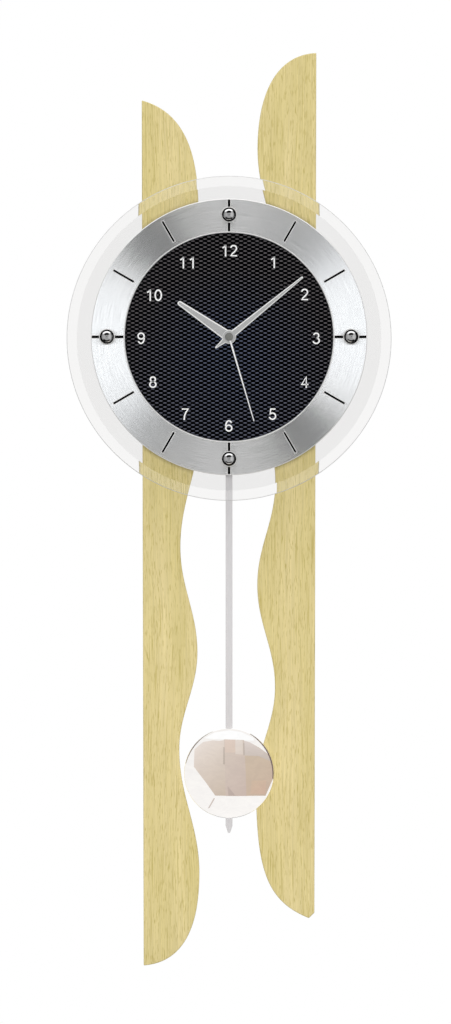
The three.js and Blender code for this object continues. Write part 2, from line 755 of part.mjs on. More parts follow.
const studHole = (back, front) =>
  cylinder(STUD_RADIUS + SEAT_GAP, back - CUT_PAST, front + CUT_PAST, 0, 0, FACETS.fine);
const spacer = cylinder(SPACER_RADIUS, spacerBack, spacerFront, 0, 0, FACETS.hub)
  .subtract(studHole(spacerBack, spacerFront));
const studNut = slab(hexagon(STUD_NUT_WIDTH), studNutBack, studNutFront)
  .subtract(studHole(studNutBack, studNutFront));

for (const { hour, place } of studPlaces) {
  const group = new THREE.Group();
  group.position.set(...place, 0);
  dialGroup.add(group);
  addPiece(group, `ball_stud_${hour}`, ballStud(), chrome);
  addPiece(group, `glass_spacer_${hour}`, spacer, whitePlastic);
  addPiece(group, `stud_nut_${hour}`, studNut, steel);
}

// A gear: a ring of straight-flanked teeth, one of them at a given angle
function gear({ teeth, module, toothAt, x, y, back, front }) {
  const step = (2 * Math.PI) / teeth;
  const pitchRadius = (teeth * module) / 2;
  const rootRadius = pitchRadius - DEDENDUM * module;
  const tipRadius = pitchRadius + ADDENDUM * module;
  const rootHalf = (step * TOOTH_ROOT) / 2;
  const tipHalf = (step * TOOTH_TIP) / 2;
  const points = [];
  for (let k = 0; k < teeth; k++) {
    const centre = toothAt + k * step;
    points.push(onCircle(rootRadius, centre - rootHalf, x, y));
    points.push(onCircle(tipRadius, centre - tipHalf, x, y));
    points.push(onCircle(tipRadius, centre + tipHalf, x, y));
    points.push(onCircle(rootRadius, centre + rootHalf, x, y));
  }
  return slab(polygon(points), back, front);
}

// Layers of the train, from the front of the movement to the back
const hourLayer = movementInsideFront - END_PLAY - FACE_WIDTH;
const motionLayer = hourLayer - FACE_WIDTH - 2 * LAYER_GAP;
const minuteLayer = motionLayer - FACE_WIDTH - 2 * LAYER_GAP;
const minuteTransferLayer = minuteLayer - FACE_WIDTH - 2 * LAYER_GAP;
const secondLayer = minuteTransferLayer - FACE_WIDTH - 3 * LAYER_GAP;
const secondTransferLayer = secondLayer - FACE_WIDTH - 2 * LAYER_GAP;

// Axes of the train. The hour pair shares the motion pair's two axes, so its module follows.
HOUR.module = (MOTION.module * (MOTION.pinion + MOTION.wheel)) / (HOUR.pinion + HOUR.wheel);
const CENTRE = [0, 0];
const axisOf = (pair, [x, y]) => onCircle((pair.module * (pair.pinion + pair.wheel)) / 2, pair.angle, x, y);
const motionAxis = axisOf(MOTION, CENTRE);
const minuteTransferAxis = axisOf(MINUTE, CENTRE);
const minuteRotorAxis = axisOf(MINUTE_MOTOR, minuteTransferAxis);
const secondTransferAxis = axisOf(SECOND, CENTRE);
const secondRotorAxis = axisOf(SECOND_MOTOR, secondTransferAxis);

// The wheel of a pair, with a gap facing its pinion
function wheelOf(pair, [x, y], towardsPinion, back) {
  const toothAt = towardsPinion + Math.PI / pair.wheel;
  return gear({ teeth: pair.wheel, module: pair.module, toothAt, x, y, back, front: back + FACE_WIDTH });
}

// The pinion of a pair, with a tooth facing its wheel
function pinionOf(pair, [x, y], towardsWheel, layer) {
  const back = layer - PINION_EXTRA;
  const front = layer + FACE_WIDTH + PINION_EXTRA;
  return gear({ teeth: pair.pinion, module: pair.module, toothAt: towardsWheel, x, y, back, front });
}

const bearingBack = movementInsideBack - BEARING_DEPTH;
const bearingFront = movementInsideFront + BEARING_DEPTH;
const arbor = (axis, radius = ARBOR_RADIUS) =>
  cylinder(radius, bearingBack + SEAT_GAP, bearingFront - SEAT_GAP, ...axis, FACETS.arbor);

const boreFor = (radius, back, front) =>
  cylinder(radius + RUNNING_GAP, back - CUT_PAST, front + CUT_PAST, 0, 0, FACETS.hole);

const hourTubeFront = hourHandFront + TUBE_PROUD;
const hourWheel = wheelOf(HOUR, CENTRE, MOTION.angle, hourLayer)
  .add(cylinder(HOUR_TUBE_RADIUS, hourLayer, hourTubeFront, 0, 0, FACETS.hub))
  .subtract(boreFor(MINUTE_TUBE_RADIUS, hourLayer, hourTubeFront));
addPiece(dialGroup, 'hour_wheel', hourWheel, whitePlastic);

const motionWheel = joined(
  wheelOf(MOTION, motionAxis, MOTION.angle + Math.PI, motionLayer),
  pinionOf(HOUR, motionAxis, MOTION.angle + Math.PI, hourLayer),
  cylinder(HOUR.module * HUB_MODULES, motionLayer, hourLayer, ...motionAxis, FACETS.hole),
  arbor(motionAxis)
);
addPiece(dialGroup, 'motion_wheel', motionWheel, whitePlastic);

const minuteTubeFront = minuteHandFront + TUBE_PROUD;
const minuteArbor = joined(
  wheelOf(MINUTE, CENTRE, MINUTE.angle, minuteLayer),
  pinionOf(MOTION, CENTRE, MOTION.angle, motionLayer),
  cylinder(MINUTE_TUBE_RADIUS, minuteLayer, minuteTubeFront, 0, 0, FACETS.hole)
).subtract(boreFor(SECOND_ARBOR_RADIUS, minuteLayer, minuteTubeFront));
addPiece(dialGroup, 'minute_arbor', minuteArbor, whitePlastic);

const secondArbor = joined(
  wheelOf(SECOND, CENTRE, SECOND.angle, secondLayer),
  cylinder(SECOND_ARBOR_RADIUS, bearingBack + SEAT_GAP, secondHandFront + TUBE_PROUD, 0, 0, FACETS.fine)
);
addPiece(dialGroup, 'second_arbor', secondArbor, steel);

// A wheel that a motor turns, with the pinion that turns the wheel of a hand
function transferWheel(pair, motor, axis, wheelLayer, pinionLayer) {
  return joined(
    wheelOf(motor, axis, motor.angle, wheelLayer),
    pinionOf(pair, axis, pair.angle + Math.PI, pinionLayer),
    cylinder(ARBOR_COLLAR_RADIUS, wheelLayer, pinionLayer, ...axis, FACETS.arbor),
    arbor(axis)
  );
}

// Stepper motors: a magnet rotor in a laminated stator, whose core carries the coil
const magnetFrontOf = (layer) => layer - PINION_EXTRA - SEAT_GAP;

function rotorSolid(motor, axis, layer) {
  const magnetFront = magnetFrontOf(layer);
  return joined(
    pinionOf(motor, axis, motor.angle + Math.PI, layer),
    cylinder(ROTOR_RADIUS, magnetFront - ROTOR_THICKNESS, magnetFront, ...axis, FACETS.hub),
    cylinder(ROTOR_COLLAR_RADIUS, magnetFront - LAP, layer, ...axis, FACETS.arbor),
    arbor(axis, ROTOR_ARBOR_RADIUS)
  );
}

// The stator is one sheet: pole pieces round the rotor, two arms and the core bar
function statorShape([x, y]) {
  const bore = ROTOR_RADIUS + ROTOR_AIR_GAP;
  const halfWindow = COIL_LENGTH / 2 + SEAT_GAP;
  const reach = halfWindow + STATOR_ARM;
  const right = CORE_X + CORE_WIDTH / 2;
  const windowLeft = x + bore + POLE_WEB;
  const windowRight = CORE_X - CORE_WIDTH / 2;
  const shape = roundedBox(x - STATOR_LEFT, right, y - reach, y + reach, STATOR_CORNER);
  const window = roundedBox(windowLeft, windowRight, y - halfWindow, y + halfWindow, STATOR_CORNER / 2);
  shape.holes.push(new THREE.Path(window.getPoints(1).reverse()));
  shape.holes.push(new THREE.Path(circle(bore, x, y).getPoints(FACETS.fine).reverse()));
  return shape;
}

function coilSolid(y, middle) {
  const half = COIL_LENGTH / 2;
  const profile = [
    [0, -half],
    [COIL_CHEEK_RADIUS, -half],
    [COIL_CHEEK_RADIUS, -half + COIL_CHEEK],
    [COIL_RADIUS, -half + COIL_CHEEK],
    [COIL_RADIUS, half - COIL_CHEEK],
    [COIL_CHEEK_RADIUS, half - COIL_CHEEK],
    [COIL_CHEEK_RADIUS, half],
    [0, half],
  ];
  const halfCore = CORE_WIDTH / 2 + SEAT_GAP;
  const halfSheet = STATOR_THICKNESS / 2 + SEAT_GAP;
  const reach = half + CUT_PAST;
  return turned(profile, FACETS.hole)
    .subtract(block(-halfCore, halfCore, -halfSheet, halfSheet, -reach, reach))
    .rotate([90, 0, 0])
    .translate([CORE_X, y, middle]);
}

function addMotor(name, motor, axis, layer) {
  const middle = magnetFrontOf(layer) - ROTOR_THICKNESS / 2;
  const half = STATOR_THICKNESS / 2;
  addPiece(dialGroup, `${name}_rotor`, rotorSolid(motor, axis, layer), darkSteel);
  addPiece(dialGroup, `${name}_stator`, slab(statorShape(axis), middle - half, middle + half), darkSteel);
  addPiece(dialGroup, `${name}_coil`, coilSolid(axis[1], middle), copper);
}

const minuteTransfer = transferWheel(
  MINUTE,
  MINUTE_MOTOR,
  minuteTransferAxis,
  minuteTransferLayer,
  minuteLayer
);
const secondTransfer = transferWheel(
  SECOND,
  SECOND_MOTOR,
  secondTransferAxis,
  secondTransferLayer,
  secondLayer
);
addPiece(dialGroup, 'minute_transfer_wheel', minuteTransfer, whitePlastic);
addPiece(dialGroup, 'second_transfer_wheel', secondTransfer, whitePlastic);
addMotor('minute', MINUTE_MOTOR, minuteRotorAxis, minuteTransferLayer);
addMotor('second', SECOND_MOTOR, secondRotorAxis, secondTransferLayer);

// Movement covers
const coverJoint = (movementFront + movementBack) / 2;
const batteryZ = movementBack + BATTERY_RECESS + BATTERY_RADIUS;
const tubHalf = MOVEMENT_WIDTH / 2 - MOVEMENT_WALL - SEAT_GAP;
const tubFloor = batteryZ + BATTERY_RADIUS + SEAT_GAP;
const bearingAxes = [motionAxis, minuteTransferAxis, secondTransferAxis, minuteRotorAxis, secondRotorAxis];

function bearingHoles(axes, back, front) {
  const radius = ARBOR_RADIUS + RUNNING_GAP;
  return joined(...axes.map((axis) => cylinder(radius, back, front, ...axis, FACETS.fine)));
}

function batteryTub(half, margin, back, front) {
  const reach = BATTERY_RADIUS + SEAT_GAP + margin;
  return block(-half, half, BATTERY_Y - reach, BATTERY_Y + reach, back, front);
}

function rearCover() {
  const inside = movementOutline(-MOVEMENT_WALL, movementInsideBack, coverJoint + CUT_PAST);
  const shell = movementOutline(0, movementBack, coverJoint).subtract(inside);
  const tub = batteryTub(tubHalf, TUB_WALL, movementBack, tubFloor + TUB_WALL);
  const bay = batteryTub(tubHalf - TUB_WALL, 0, movementBack - CUT_PAST, tubFloor);
  const pin = cylinder(
    PIVOT_RADIUS,
    leverBack - PIVOT_PIN_PROUD,
    movementBack + LAP,
    0,
    PIVOT_Y,
    FACETS.hub
  );
  const buttonHoles = [-1, 1].map((side) =>
    cylinder(
      BUTTON_RADIUS + SEAT_GAP,
      movementBack - CUT_PAST,
      movementInsideBack + CUT_PAST,
      side * BUTTON_X,
      BUTTON_Y,
      FACETS.hole
    )
  );
  return joined(shell, tub, pin)
    .subtract(joined(bay, ...buttonHoles))
    .subtract(bearingHoles([CENTRE, ...bearingAxes], bearingBack, movementInsideBack + LAP));
}

function frontCover() {
  const inside = movementOutline(-MOVEMENT_WALL, coverJoint - CUT_PAST, movementInsideFront);
  const bush = cylinder(BUSH_RADIUS, movementInsideFront, plateFront);
  return movementOutline(0, coverJoint + SEAT_GAP, movementFront)
    .subtract(inside)
    .add(bush)
    .subtract(boreFor(HOUR_TUBE_RADIUS, movementInsideFront, plateFront))
    .subtract(bearingHoles(bearingAxes, movementInsideFront - LAP, bearingFront));
}

addPiece(dialGroup, 'movement_rear_cover', rearCover(), blackPlastic);
addPiece(dialGroup, 'movement_front_cover', frontCover(), blackPlastic);

const shaftNut = slab(hexagon(SHAFT_NUT_WIDTH), plateBack, plateFront)
  .subtract(cylinder(BUSH_RADIUS + SEAT_GAP, plateBack - CUT_PAST, plateFront + CUT_PAST));
addPiece(dialGroup, 'shaft_nut', shaftNut, brass);

// Battery and its contacts
const batteryEnd = BATTERY_LENGTH / 2;
const batteryShoulder = batteryEnd - BATTERY_NIPPLE_LENGTH;
const batterySolid = barAlongX(BATTERY_RADIUS, -batteryEnd, batteryShoulder, BATTERY_Y, batteryZ).add(
  barAlongX(BATTERY_NIPPLE_RADIUS, batteryShoulder - LAP, batteryEnd, BATTERY_Y, batteryZ)
);
addPiece(dialGroup, 'battery', batterySolid, batterySleeve);

for (const [name, side] of [['plus', 1], ['minus', -1]]) {
  const outer = side * (tubHalf - TUB_WALL - CONTACT_GAP);
  const inner = outer - side * CONTACT_THICKNESS;
  const strip = block(
    Math.min(outer, inner),
    Math.max(outer, inner),
    BATTERY_Y - CONTACT_HEIGHT / 2,
    BATTERY_Y + CONTACT_HEIGHT / 2,
    movementBack + TUB_WALL,
    tubFloor - SEAT_GAP
  );
  addPiece(dialGroup, `battery_contact_${name}`, strip, steel);
}

// Circuit board with its larger components on the back
const circuitFront = movementInsideFront - CIRCUIT_SETBACK;
const circuitBack = circuitFront - CIRCUIT_THICKNESS;
const circuitBottom = MOVEMENT_BOTTOM + MOVEMENT_WALL + CIRCUIT_MARGIN;
const circuitHalf = MOVEMENT_WIDTH / 2 - MOVEMENT_WALL - CIRCUIT_SIDE_MARGIN;
const circuit = joined(
  block(-circuitHalf, circuitHalf, circuitBottom, circuitBottom + CIRCUIT_HEIGHT, circuitBack, circuitFront),
  ...CHIPS.map(({ left, bottom, width, height, proud }) =>
    block(
      left,
      left + width,
      circuitBottom + bottom,
      circuitBottom + bottom + height,
      circuitBack - proud,
      circuitBack + LAP
    )
  )
);
addPiece(dialGroup, 'circuit_board', circuit, circuitGreen);

// Antenna: a ferrite rod with its winding
const antennaZ = movementInsideFront - ANTENNA_SETBACK;
const centredBar = (radius, length) => barAlongX(radius, -length / 2, length / 2, ANTENNA_Y, antennaZ);
addPiece(dialGroup, 'antenna_rod', centredBar(ANTENNA_RADIUS, ANTENNA_LENGTH), ferrite);
const antennaWinding = centredBar(ANTENNA_RADIUS + SEAT_GAP + WINDING_THICKNESS, WINDING_LENGTH).subtract(
  centredBar(ANTENNA_RADIUS + SEAT_GAP, WINDING_LENGTH + 2 * CUT_PAST)
);
addPiece(dialGroup, 'antenna_winding', antennaWinding, copper);

// Buttons that set and reset the time, each held in by its flange
function buttonSolid(side) {
  const tip = movementBack - BUTTON_PROUD;
  const flangeBack = movementInsideBack + SEAT_GAP;
  const flangeFront = flangeBack + FLANGE_THICKNESS;
  const profile = [
    [0, tip],
    [BUTTON_RADIUS - BUTTON_CHAMFER, tip],
    [BUTTON_RADIUS, tip + BUTTON_CHAMFER],
    [BUTTON_RADIUS, flangeBack],
    [FLANGE_RADIUS, flangeBack],
    [FLANGE_RADIUS, flangeFront],
    [0, flangeFront],
  ];
  return turned(profile, FACETS.hole).translate([side * BUTTON_X, BUTTON_Y, 0]);
}

addPiece(dialGroup, 'set_button', buttonSolid(-1), whitePlastic);
addPiece(dialGroup, 'reset_button', buttonSolid(1), whitePlastic);

// The drive coil pulls the lever's magnet through the rear cover
const driveCoilBack = movementInsideBack + SEAT_GAP;
const driveCoilFront = driveCoilBack + DRIVE_COIL_LENGTH;
const atMagnet = (radius, back, front, facets) => cylinder(radius, back, front, 0, MAGNET_Y, facets);
const driveCoil = atMagnet(DRIVE_COIL_RADIUS, driveCoilBack, driveCoilFront, FACETS.hub)
  .subtract(atMagnet(DRIVE_COIL_BORE, driveCoilBack - CUT_PAST, driveCoilFront + CUT_PAST, FACETS.hole));
addPiece(dialGroup, 'pendulum_coil', driveCoil, copper);

// The lever swings on the rear cover's pin; its hook carries the rod
function leverSolid() {
  const half = LEVER_WIDTH / 2;
  const outline = roundedBox(-half, half, HOOK_Y - half, PIVOT_Y + LEVER_HEAD, half - SEAT_GAP / 2);
  const foot = atMagnet(LEVER_FOOT_RADIUS, leverBack, leverFront, FACETS.hub);
  const hook = cylinder(HOOK_RADIUS, rodBack - HOOK_PROUD, leverBack + LAP, 0, HOOK_Y, FACETS.hub);
  const bore = cylinder(
    PIVOT_RADIUS + RUNNING_GAP,
    leverBack - CUT_PAST,
    leverFront + CUT_PAST,
    0,
    PIVOT_Y,
    FACETS.hub
  );
  return joined(slab(outline, leverBack, leverFront, 3), foot, hook).subtract(bore);
}

addPiece(dialGroup, 'hanger_lever', leverSolid(), whitePlastic);
const magnet = atMagnet(MAGNET_RADIUS, leverFront + SEAT_GAP, movementBack - MAGNET_GAP, FACETS.hub);
addPiece(dialGroup, 'lever_magnet', magnet, darkSteel);

function rodSolid() {
  const half = ROD_WIDTH / 2;
  const halfTip = ROD_TIP_WIDTH / 2;
  const top = HOOK_Y + ROD_EYE;
  const shoulder = ROD_TIP_Y + ROD_POINT;
  const outline = polygon([
    [-half, top],
    [-half, shoulder],
    [-halfTip, ROD_TIP_Y],
    [halfTip, ROD_TIP_Y],
    [half, shoulder],
    [half, top],
  ]);
  const eye = cylinder(
    HOOK_RADIUS + SEAT_GAP,
    rodBack - CUT_PAST,
    rodFront + CUT_PAST,
    0,
    HOOK_Y,
    FACETS.hub
  );
  return slab(outline, rodBack, rodFront).subtract(eye);
}

addPiece(dialGroup, 'pendulum_rod', rodSolid(), handMetal);

// The bob is a spun disc: a shallow dome in front, hollow behind, with a rolled rim
function bobSolid() {
  const sphereRadius = (BOB_RADIUS ** 2 + BOB_HEIGHT ** 2) / (2 * BOB_HEIGHT);
  const innerRadius = sphereRadius - BOB_WALL;
  const centre = bobBack + BOB_RIM + BOB_HEIGHT - sphereRadius;
  const spread = Math.asin((BOB_RADIUS - BOB_RIM_EASE) / sphereRadius);
  const innerSpread = Math.acos((bobBack + BOB_WALL + LAP - centre) / innerRadius);
  const dome = (radius, from, to, steps) =>
    Array.from({ length: steps + 1 }, (_, k) => {
      const angle = from + ((to - from) * k) / steps;
      return [radius * Math.sin(angle), centre + radius * Math.cos(angle)];
    });
  const profile = [
    ...dome(innerRadius, 0, innerSpread, 2),
    [innerRadius * Math.sin(innerSpread), bobBack],
    [BOB_RADIUS - BOB_RIM_EASE, bobBack],
    [BOB_RADIUS, bobBack + BOB_RIM_EASE],
    [BOB_RADIUS, bobBack + BOB_RIM],
    ...dome(sphereRadius, spread, 0, 6),
  ];
  return turned(profile, FACETS.bob).translate([0, BOB_Y, 0]);
}

addPiece(dialGroup, 'pendulum_bob', bobSolid(), chrome);

// The clip is a channel of spring sheet that grips the rod behind the bob
function clipSolid() {
  const inner = ROD_WIDTH / 2 + SEAT_GAP;
  const outer = inner + CLIP_SHEET;
  const half = CLIP_LENGTH / 2;
  const floor = rodBack - SEAT_GAP;
  const back = floor - CLIP_SHEET;
  const channel = block(
    -inner,
    inner,
    BOB_Y - half - CUT_PAST,
    BOB_Y + half + CUT_PAST,
    floor,
    rodFront + CUT_PAST
  );
  return block(-outer, outer, BOB_Y - half, BOB_Y + half, back, rodFront).subtract(channel);
}

addPiece(dialGroup, 'bob_clip', clipSolid(), steel);

// A hand's blade, drawn pointing up: a flat face between bevelled rims
function blade({ length, hubWidth, tipWidth, tail, tailWidth, bevel, thickness, roundTip }, back) {
  const face = back + thickness;
  const edge = back + thickness * HAND_EDGE;
  const points = [];
  const station = (width, y, faceY) => {
    const half = width / 2;
    const faceHalf = Math.max(half - bevel, half / 4);
    for (const side of [-1, 1]) {
      points.push(new THREE.Vector3(side * half, y, back));
      points.push(new THREE.Vector3(side * half, y, edge));
      points.push(new THREE.Vector3(side * faceHalf, faceY, face));
    }
  };
  station(tailWidth, -tail, -tail + bevel);
  station(hubWidth, 0, 0);
  if (roundTip) {
    station(tipWidth, length - tipWidth / 2, length - tipWidth / 2);
    station(tipWidth * Math.SQRT1_2, length - (tipWidth / 2) * (1 - Math.SQRT1_2), length - bevel);
    station(tipWidth / 4, length, length - bevel);
  } else {
    station(tipWidth, length, length - bevel);
  }
  return toSolid(new ConvexGeometry(points));
}

// A hand with its boss, which is pressed on a tube
function handSolid(hand, back, tubeRadius) {
  const front = back + hand.thickness;
  const boss = cylinder(hand.bossRadius, back - hand.collet, front);
  return blade(hand, back).add(boss).subtract(boreFor(tubeRadius, back - hand.collet, front));
}

function secondHandSolid() {
  const capFront = secondHandFront + HUB_CAP_HEIGHT;
  const capProfile = [
    [0, secondHandBack],
    [HUB_CAP_RADIUS, secondHandBack],
    [HUB_CAP_RADIUS, capFront - HUB_CAP_EASE],
    [HUB_CAP_RADIUS - HUB_CAP_EASE, capFront],
    [0, capFront],
  ];
  const bore = cylinder(
    SECOND_ARBOR_RADIUS + SEAT_GAP,
    secondHandBack - CUT_PAST,
    secondHandFront + TUBE_PROUD + SEAT_GAP,
    0,
    0,
    FACETS.hub
  );
  return blade(SECOND_HAND, secondHandBack).add(turned(capProfile, FACETS.hub)).subtract(bore);
}

function addHand(name, hand, solid) {
  addPiece(dialGroup, name, solid, handMetal).rotation.z = -hand.angle;
}

addHand('hour_hand', HOUR_HAND, handSolid(HOUR_HAND, hourHandBack, HOUR_TUBE_RADIUS));
addHand('minute_hand', MINUTE_HAND, handSolid(MINUTE_HAND, minuteHandBack, MINUTE_TUBE_RADIUS));
addHand('second_hand', SECOND_HAND, secondHandSolid());

clock.rotation.x = Math.PI / 2;

export default clock;
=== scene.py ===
"""A radio-controlled wall clock with a pendulum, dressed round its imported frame.

Shapes are drawn on the clock's front: x to the right and y up from the dial's axis, and depth from
the wall towards the viewer, in millimetres. The frame has its origin at the nail, with X to the
right, Z up and the viewer on the -Y side, in metres.
"""

import json
import math
import bmesh
import bpy
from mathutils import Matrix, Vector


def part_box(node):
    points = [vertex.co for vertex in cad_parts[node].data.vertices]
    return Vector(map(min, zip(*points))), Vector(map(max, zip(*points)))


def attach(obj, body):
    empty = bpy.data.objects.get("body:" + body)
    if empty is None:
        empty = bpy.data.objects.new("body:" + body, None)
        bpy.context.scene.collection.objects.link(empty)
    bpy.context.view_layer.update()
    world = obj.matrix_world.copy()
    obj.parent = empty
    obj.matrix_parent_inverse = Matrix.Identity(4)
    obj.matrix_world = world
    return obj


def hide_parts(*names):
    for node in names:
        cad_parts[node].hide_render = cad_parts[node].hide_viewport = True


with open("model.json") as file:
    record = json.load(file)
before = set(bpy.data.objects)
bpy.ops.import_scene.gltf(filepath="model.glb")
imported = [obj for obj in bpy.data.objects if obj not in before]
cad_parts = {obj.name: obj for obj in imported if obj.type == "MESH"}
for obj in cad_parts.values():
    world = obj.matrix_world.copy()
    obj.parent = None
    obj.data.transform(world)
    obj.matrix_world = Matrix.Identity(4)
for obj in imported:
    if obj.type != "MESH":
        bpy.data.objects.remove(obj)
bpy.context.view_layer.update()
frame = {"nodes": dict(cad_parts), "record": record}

MM = 0.001
DIAL_BELOW_NAIL = 70


class Extent:
    """Where a CAD node lies, as seen on the clock's front, in millimetres."""

    def __init__(self, node):
        low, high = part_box(node)
        self.left, self.right = low.x / MM, high.x / MM
        self.bottom, self.top = low.z / MM + DIAL_BELOW_NAIL, high.z / MM + DIAL_BELOW_NAIL
        self.back, self.front = -high.y / MM, -low.y / MM
        self.x = (self.left + self.right) / 2
        self.y = (self.bottom + self.top) / 2
        self.radius = (self.right - self.left) / 2


# Boards. The turns are the crests and troughs of the inner edge, from the top down. A handle of the
# top or bottom curve is its length, its angle in degrees and the length of the one at the turn.
BOARD_OUTER_X = 67.4
BOARD_TAPER = 1.5
BOARD_EASE = 0.8
WAVE_EASE = 0.38
CURVE_STEPS = 28
BOARDS = {
    "left_board": dict(
        side=-1,
        top_y=182.9,
        top_handle=(47.5, 14.9, 29),
        turns=[(-23.6, 85.4), (-37.5, 11.6), (-22.4, -66.4), (-37.6, -161.9)]
        + [(-24.4, -243.2), (-38.4, -318.2), (-22.9, -413.5)],
        bottom_handle=(38.7, 4.2, 26.6),
        bottom_y=-485,
        bottom_chamfer=0,
    ),
    "right_board": dict(
        side=1,
        top_y=219.5,
        top_handle=(31.5, 2.2, 41.5),
        turns=[(22, 145.6), (35.2, 59.6), (21.9, -25.4), (35.7, -112.2)]
        + [(21.8, -191.2), (35.5, -270), (20.9, -346.7)],
        bottom_handle=(34.5, 22.2, 66.2),
        bottom_y=-448.5,
        bottom_chamfer=4.3,
    ),
}
CASE_SCREW_PLACE = (50, 62)
COUNTERBORE = (4, 3.2)  # radius and depth
SHANK_HOLE_RADIUS = 2.1
STRAP_SCREW_PLACE = (50, 70)
STRAP_SCREW_DEPTH = 11
BEYOND = 1  # how far a cutter stands out of what it cuts
CUTTER_FACETS = 48

# Rear case and dial plate
CASE_RADIUS = 102
CASE_FACETS = 180
CASE_WALL = 2.5
CASE_EDGE_EASE = 1.5
CASE_MOUTH_EASE = 0.3
CASE_DRAFT = 0.7  # the wall thins by this much towards its open edge
RIB_START = 69
RIB_THICKNESS = 1.8
RIB_HEIGHT = 6
RIB_ANGLES = (15, 75, 105, 165, 195, 255, 285, 345)
CASE_BOSS_RADIUS = 5
PILOT_FLOOR = 2
MOVEMENT_OUTLINE = (-29, 29, -36, 58, 3)  # left, right, bottom, top, corner
MOVEMENT_GAP = 0.3
CRADLE_WALL = 2
CRADLE_HEIGHT = 4
ROD_SLOT_HALF = 18
ROD_SLOT_FLOOR = 18  # in front of it the drum's wall is whole
BUSH_HOLE_RADIUS = 4.3
PLATE_RADIUS = 104.5
PLATE_EASE = 0.2
NUT_POCKET_RADIUS = 8.43
OVERLAP = 0.3  # of bodies that are joined

# Dial
DISC_BORE = 2.9
DISC_GAP = 0.3
RING_FACETS = 256
RING_EASE = 0.6
WITHIN = 1.01  # faces belong to a rounded edge or a cap up to this share of its size
GROOVE = (81.35, 81.75, 0.25)  # inner and outer radius, depth
BAR_WIDTH = 2.05
TICK_WIDTH = 1.6
PAINTED_GLINT_BORDER = 0.35
TICK_RADII = (84.7, 102.8)
BAR_ENDS = (0.95, 0.7)  # how far a bar stays from the ring's inner and outer edge
MARK_RISE = 0.12
NUMERAL_HEIGHT = 9
NUMERAL_RISE = 0.1
NUMERAL_RADIUS = 67.5
NUMERAL_DROP = 1.05
NUMERAL_SHIFTS = {10: (0.4, -0.6), 11: (1.2, -0.2)}  # to the right and up
LIP_RADIUS = 0.45
WEAVE_CELL = (6.18 * MM, 1.54 * MM)  # width and height

# Digits, in shares of their height. A digit is drawn by strokes: each is a list of points on its
# middle line, or a part of an ellipse as (x, y, half width, half height, start, end) in degrees.
DIGIT_WIDTH = 0.7
DIGIT_STEP = 0.83
STROKE = 0.124
DIGITS = {
    "0": [[(0.325, 0.5, 0.262, 0.438, 0, 360)]],
    "1": [[(0.47, 0), (0.47, 0.995)], [(0.2, 0.735), (0.32, 0.8), (0.41, 0.875), (0.47, 0.96)]],
    "2": [[(0.325, 0.7, 0.245, 0.238, 172, -28), (0.4, 0.4), (0.22, 0.25), (0.09, 0.0625), (0.62, 0.0625)]],
    "3": [[(0.31, 0.735, 0.215, 0.203, 168, -62), (0.3, 0.52)], [(0.31, 0.292, 0.262, 0.23, 92, -168)]],
    "4": [[(0.465, 0), (0.465, 0.95), (0.07, 0.295), (0.65, 0.295)]],
    "5": [[(0.57, 0.937), (0.175, 0.937), (0.105, 0.505), (0.315, 0.33, 0.265, 0.268, 128, -166)]],
    "6": [[(0.34, 0.5, 0.272, 0.438, 36, 186)], [(0.33, 0.312, 0.256, 0.25, 0, 360)]],
    "7": [[(0.06, 0.937), (0.6, 0.937), (0.43, 0.7), (0.3, 0.4), (0.25, 0)]],
    "8": [[(0.325, 0.735, 0.21, 0.203, 0, 360)], [(0.325, 0.292, 0.262, 0.23, 0, 360)]],
    "9": [[(0.31, 0.5, 0.272, 0.438, 216, 366)], [(0.32, 0.688, 0.256, 0.25, 0, 360)]],
}
ELLIPSE_STEP = 9  # degrees
MITRE_LIMIT = 1.5

# Glass and studs
GLASS_BEVEL = 8
GLASS_EDGE = 2.8
GLASS_HOLE = 3.5
GLASS_RIM_EASE = 0.45
STUD_RADIUS = 2
STUD_HOLE_RADIUS = 2.3
STUD_EASE = 0.3
STUD_FACETS = 64
BALL_RADIUS = 5.5
BALL_FOOT_RADIUS = 4
BALL_FOOT = (0.3, 1.2, 1.3)  # its back and front, and the ball's seat, in front of the glass
SPACER_EASE = 0.5

# Hands, with their angles clockwise from twelve
HOUR_HAND = dict(
    angle=304.25, length=47.6, hub_width=8.3, tip_width=3.6, round_tip=True,
    tail=4.15, tail_width=5.8, bevel=1, boss=(5.4, 1.2), bore=2.6,
)
MINUTE_HAND = dict(
    angle=50.95, length=73.1, hub_width=5.4, tip_width=1.6, round_tip=False,
    tail=13.6, tail_width=1.2, bevel=0.9, boss=(5, 0.6), bore=1.8,
)
SECOND_HAND = dict(
    angle=163.55, length=67.8, hub_width=1.4, tip_width=0.75, round_tip=False,
    tail=0.75, tail_width=1, bevel=0.2,
)
SECOND_HAND_THICKNESS = 0.6
HAND_THICKNESS = 1
HAND_EDGE = 0.55  # the share of a hand's thickness that its bevel leaves
BEVEL_FACING = (0.05, 0.99)  # how nearly a bevel faces the viewer
BOSS_EASE = 0.3
BOSS_FACETS = 64
ARBOR_GAP = 0.15
SECOND_BORE = (1.1, 0.6)  # radius, and its depth above the hand
HUB_CAP_RADIUS = 3.1
HUB_CAP_EASE = 0.6
HUB_CAP_FACETS = 48

# Pendulum
BOB_RADIUS = 34.6
BOB_HEIGHT = 9.5
BOB_RIM = 1.4
BOB_WALL = 1
BOB_EDGE = 0.2
BOB_BACK_EASE = 0.6
BOB_FLANGE = 1.5
BOB_FACETS = 160
ROD_POINT = 5.5
ROD_TIP_WIDTH = 1.6
ROD_EASE = 0.25
ROD_EYE = (1.9, 4)  # radius, and its distance from the rod's top


# Outlines and profiles
def polar(length, degrees):
    return length * math.cos(math.radians(degrees)), length * math.sin(math.radians(degrees))


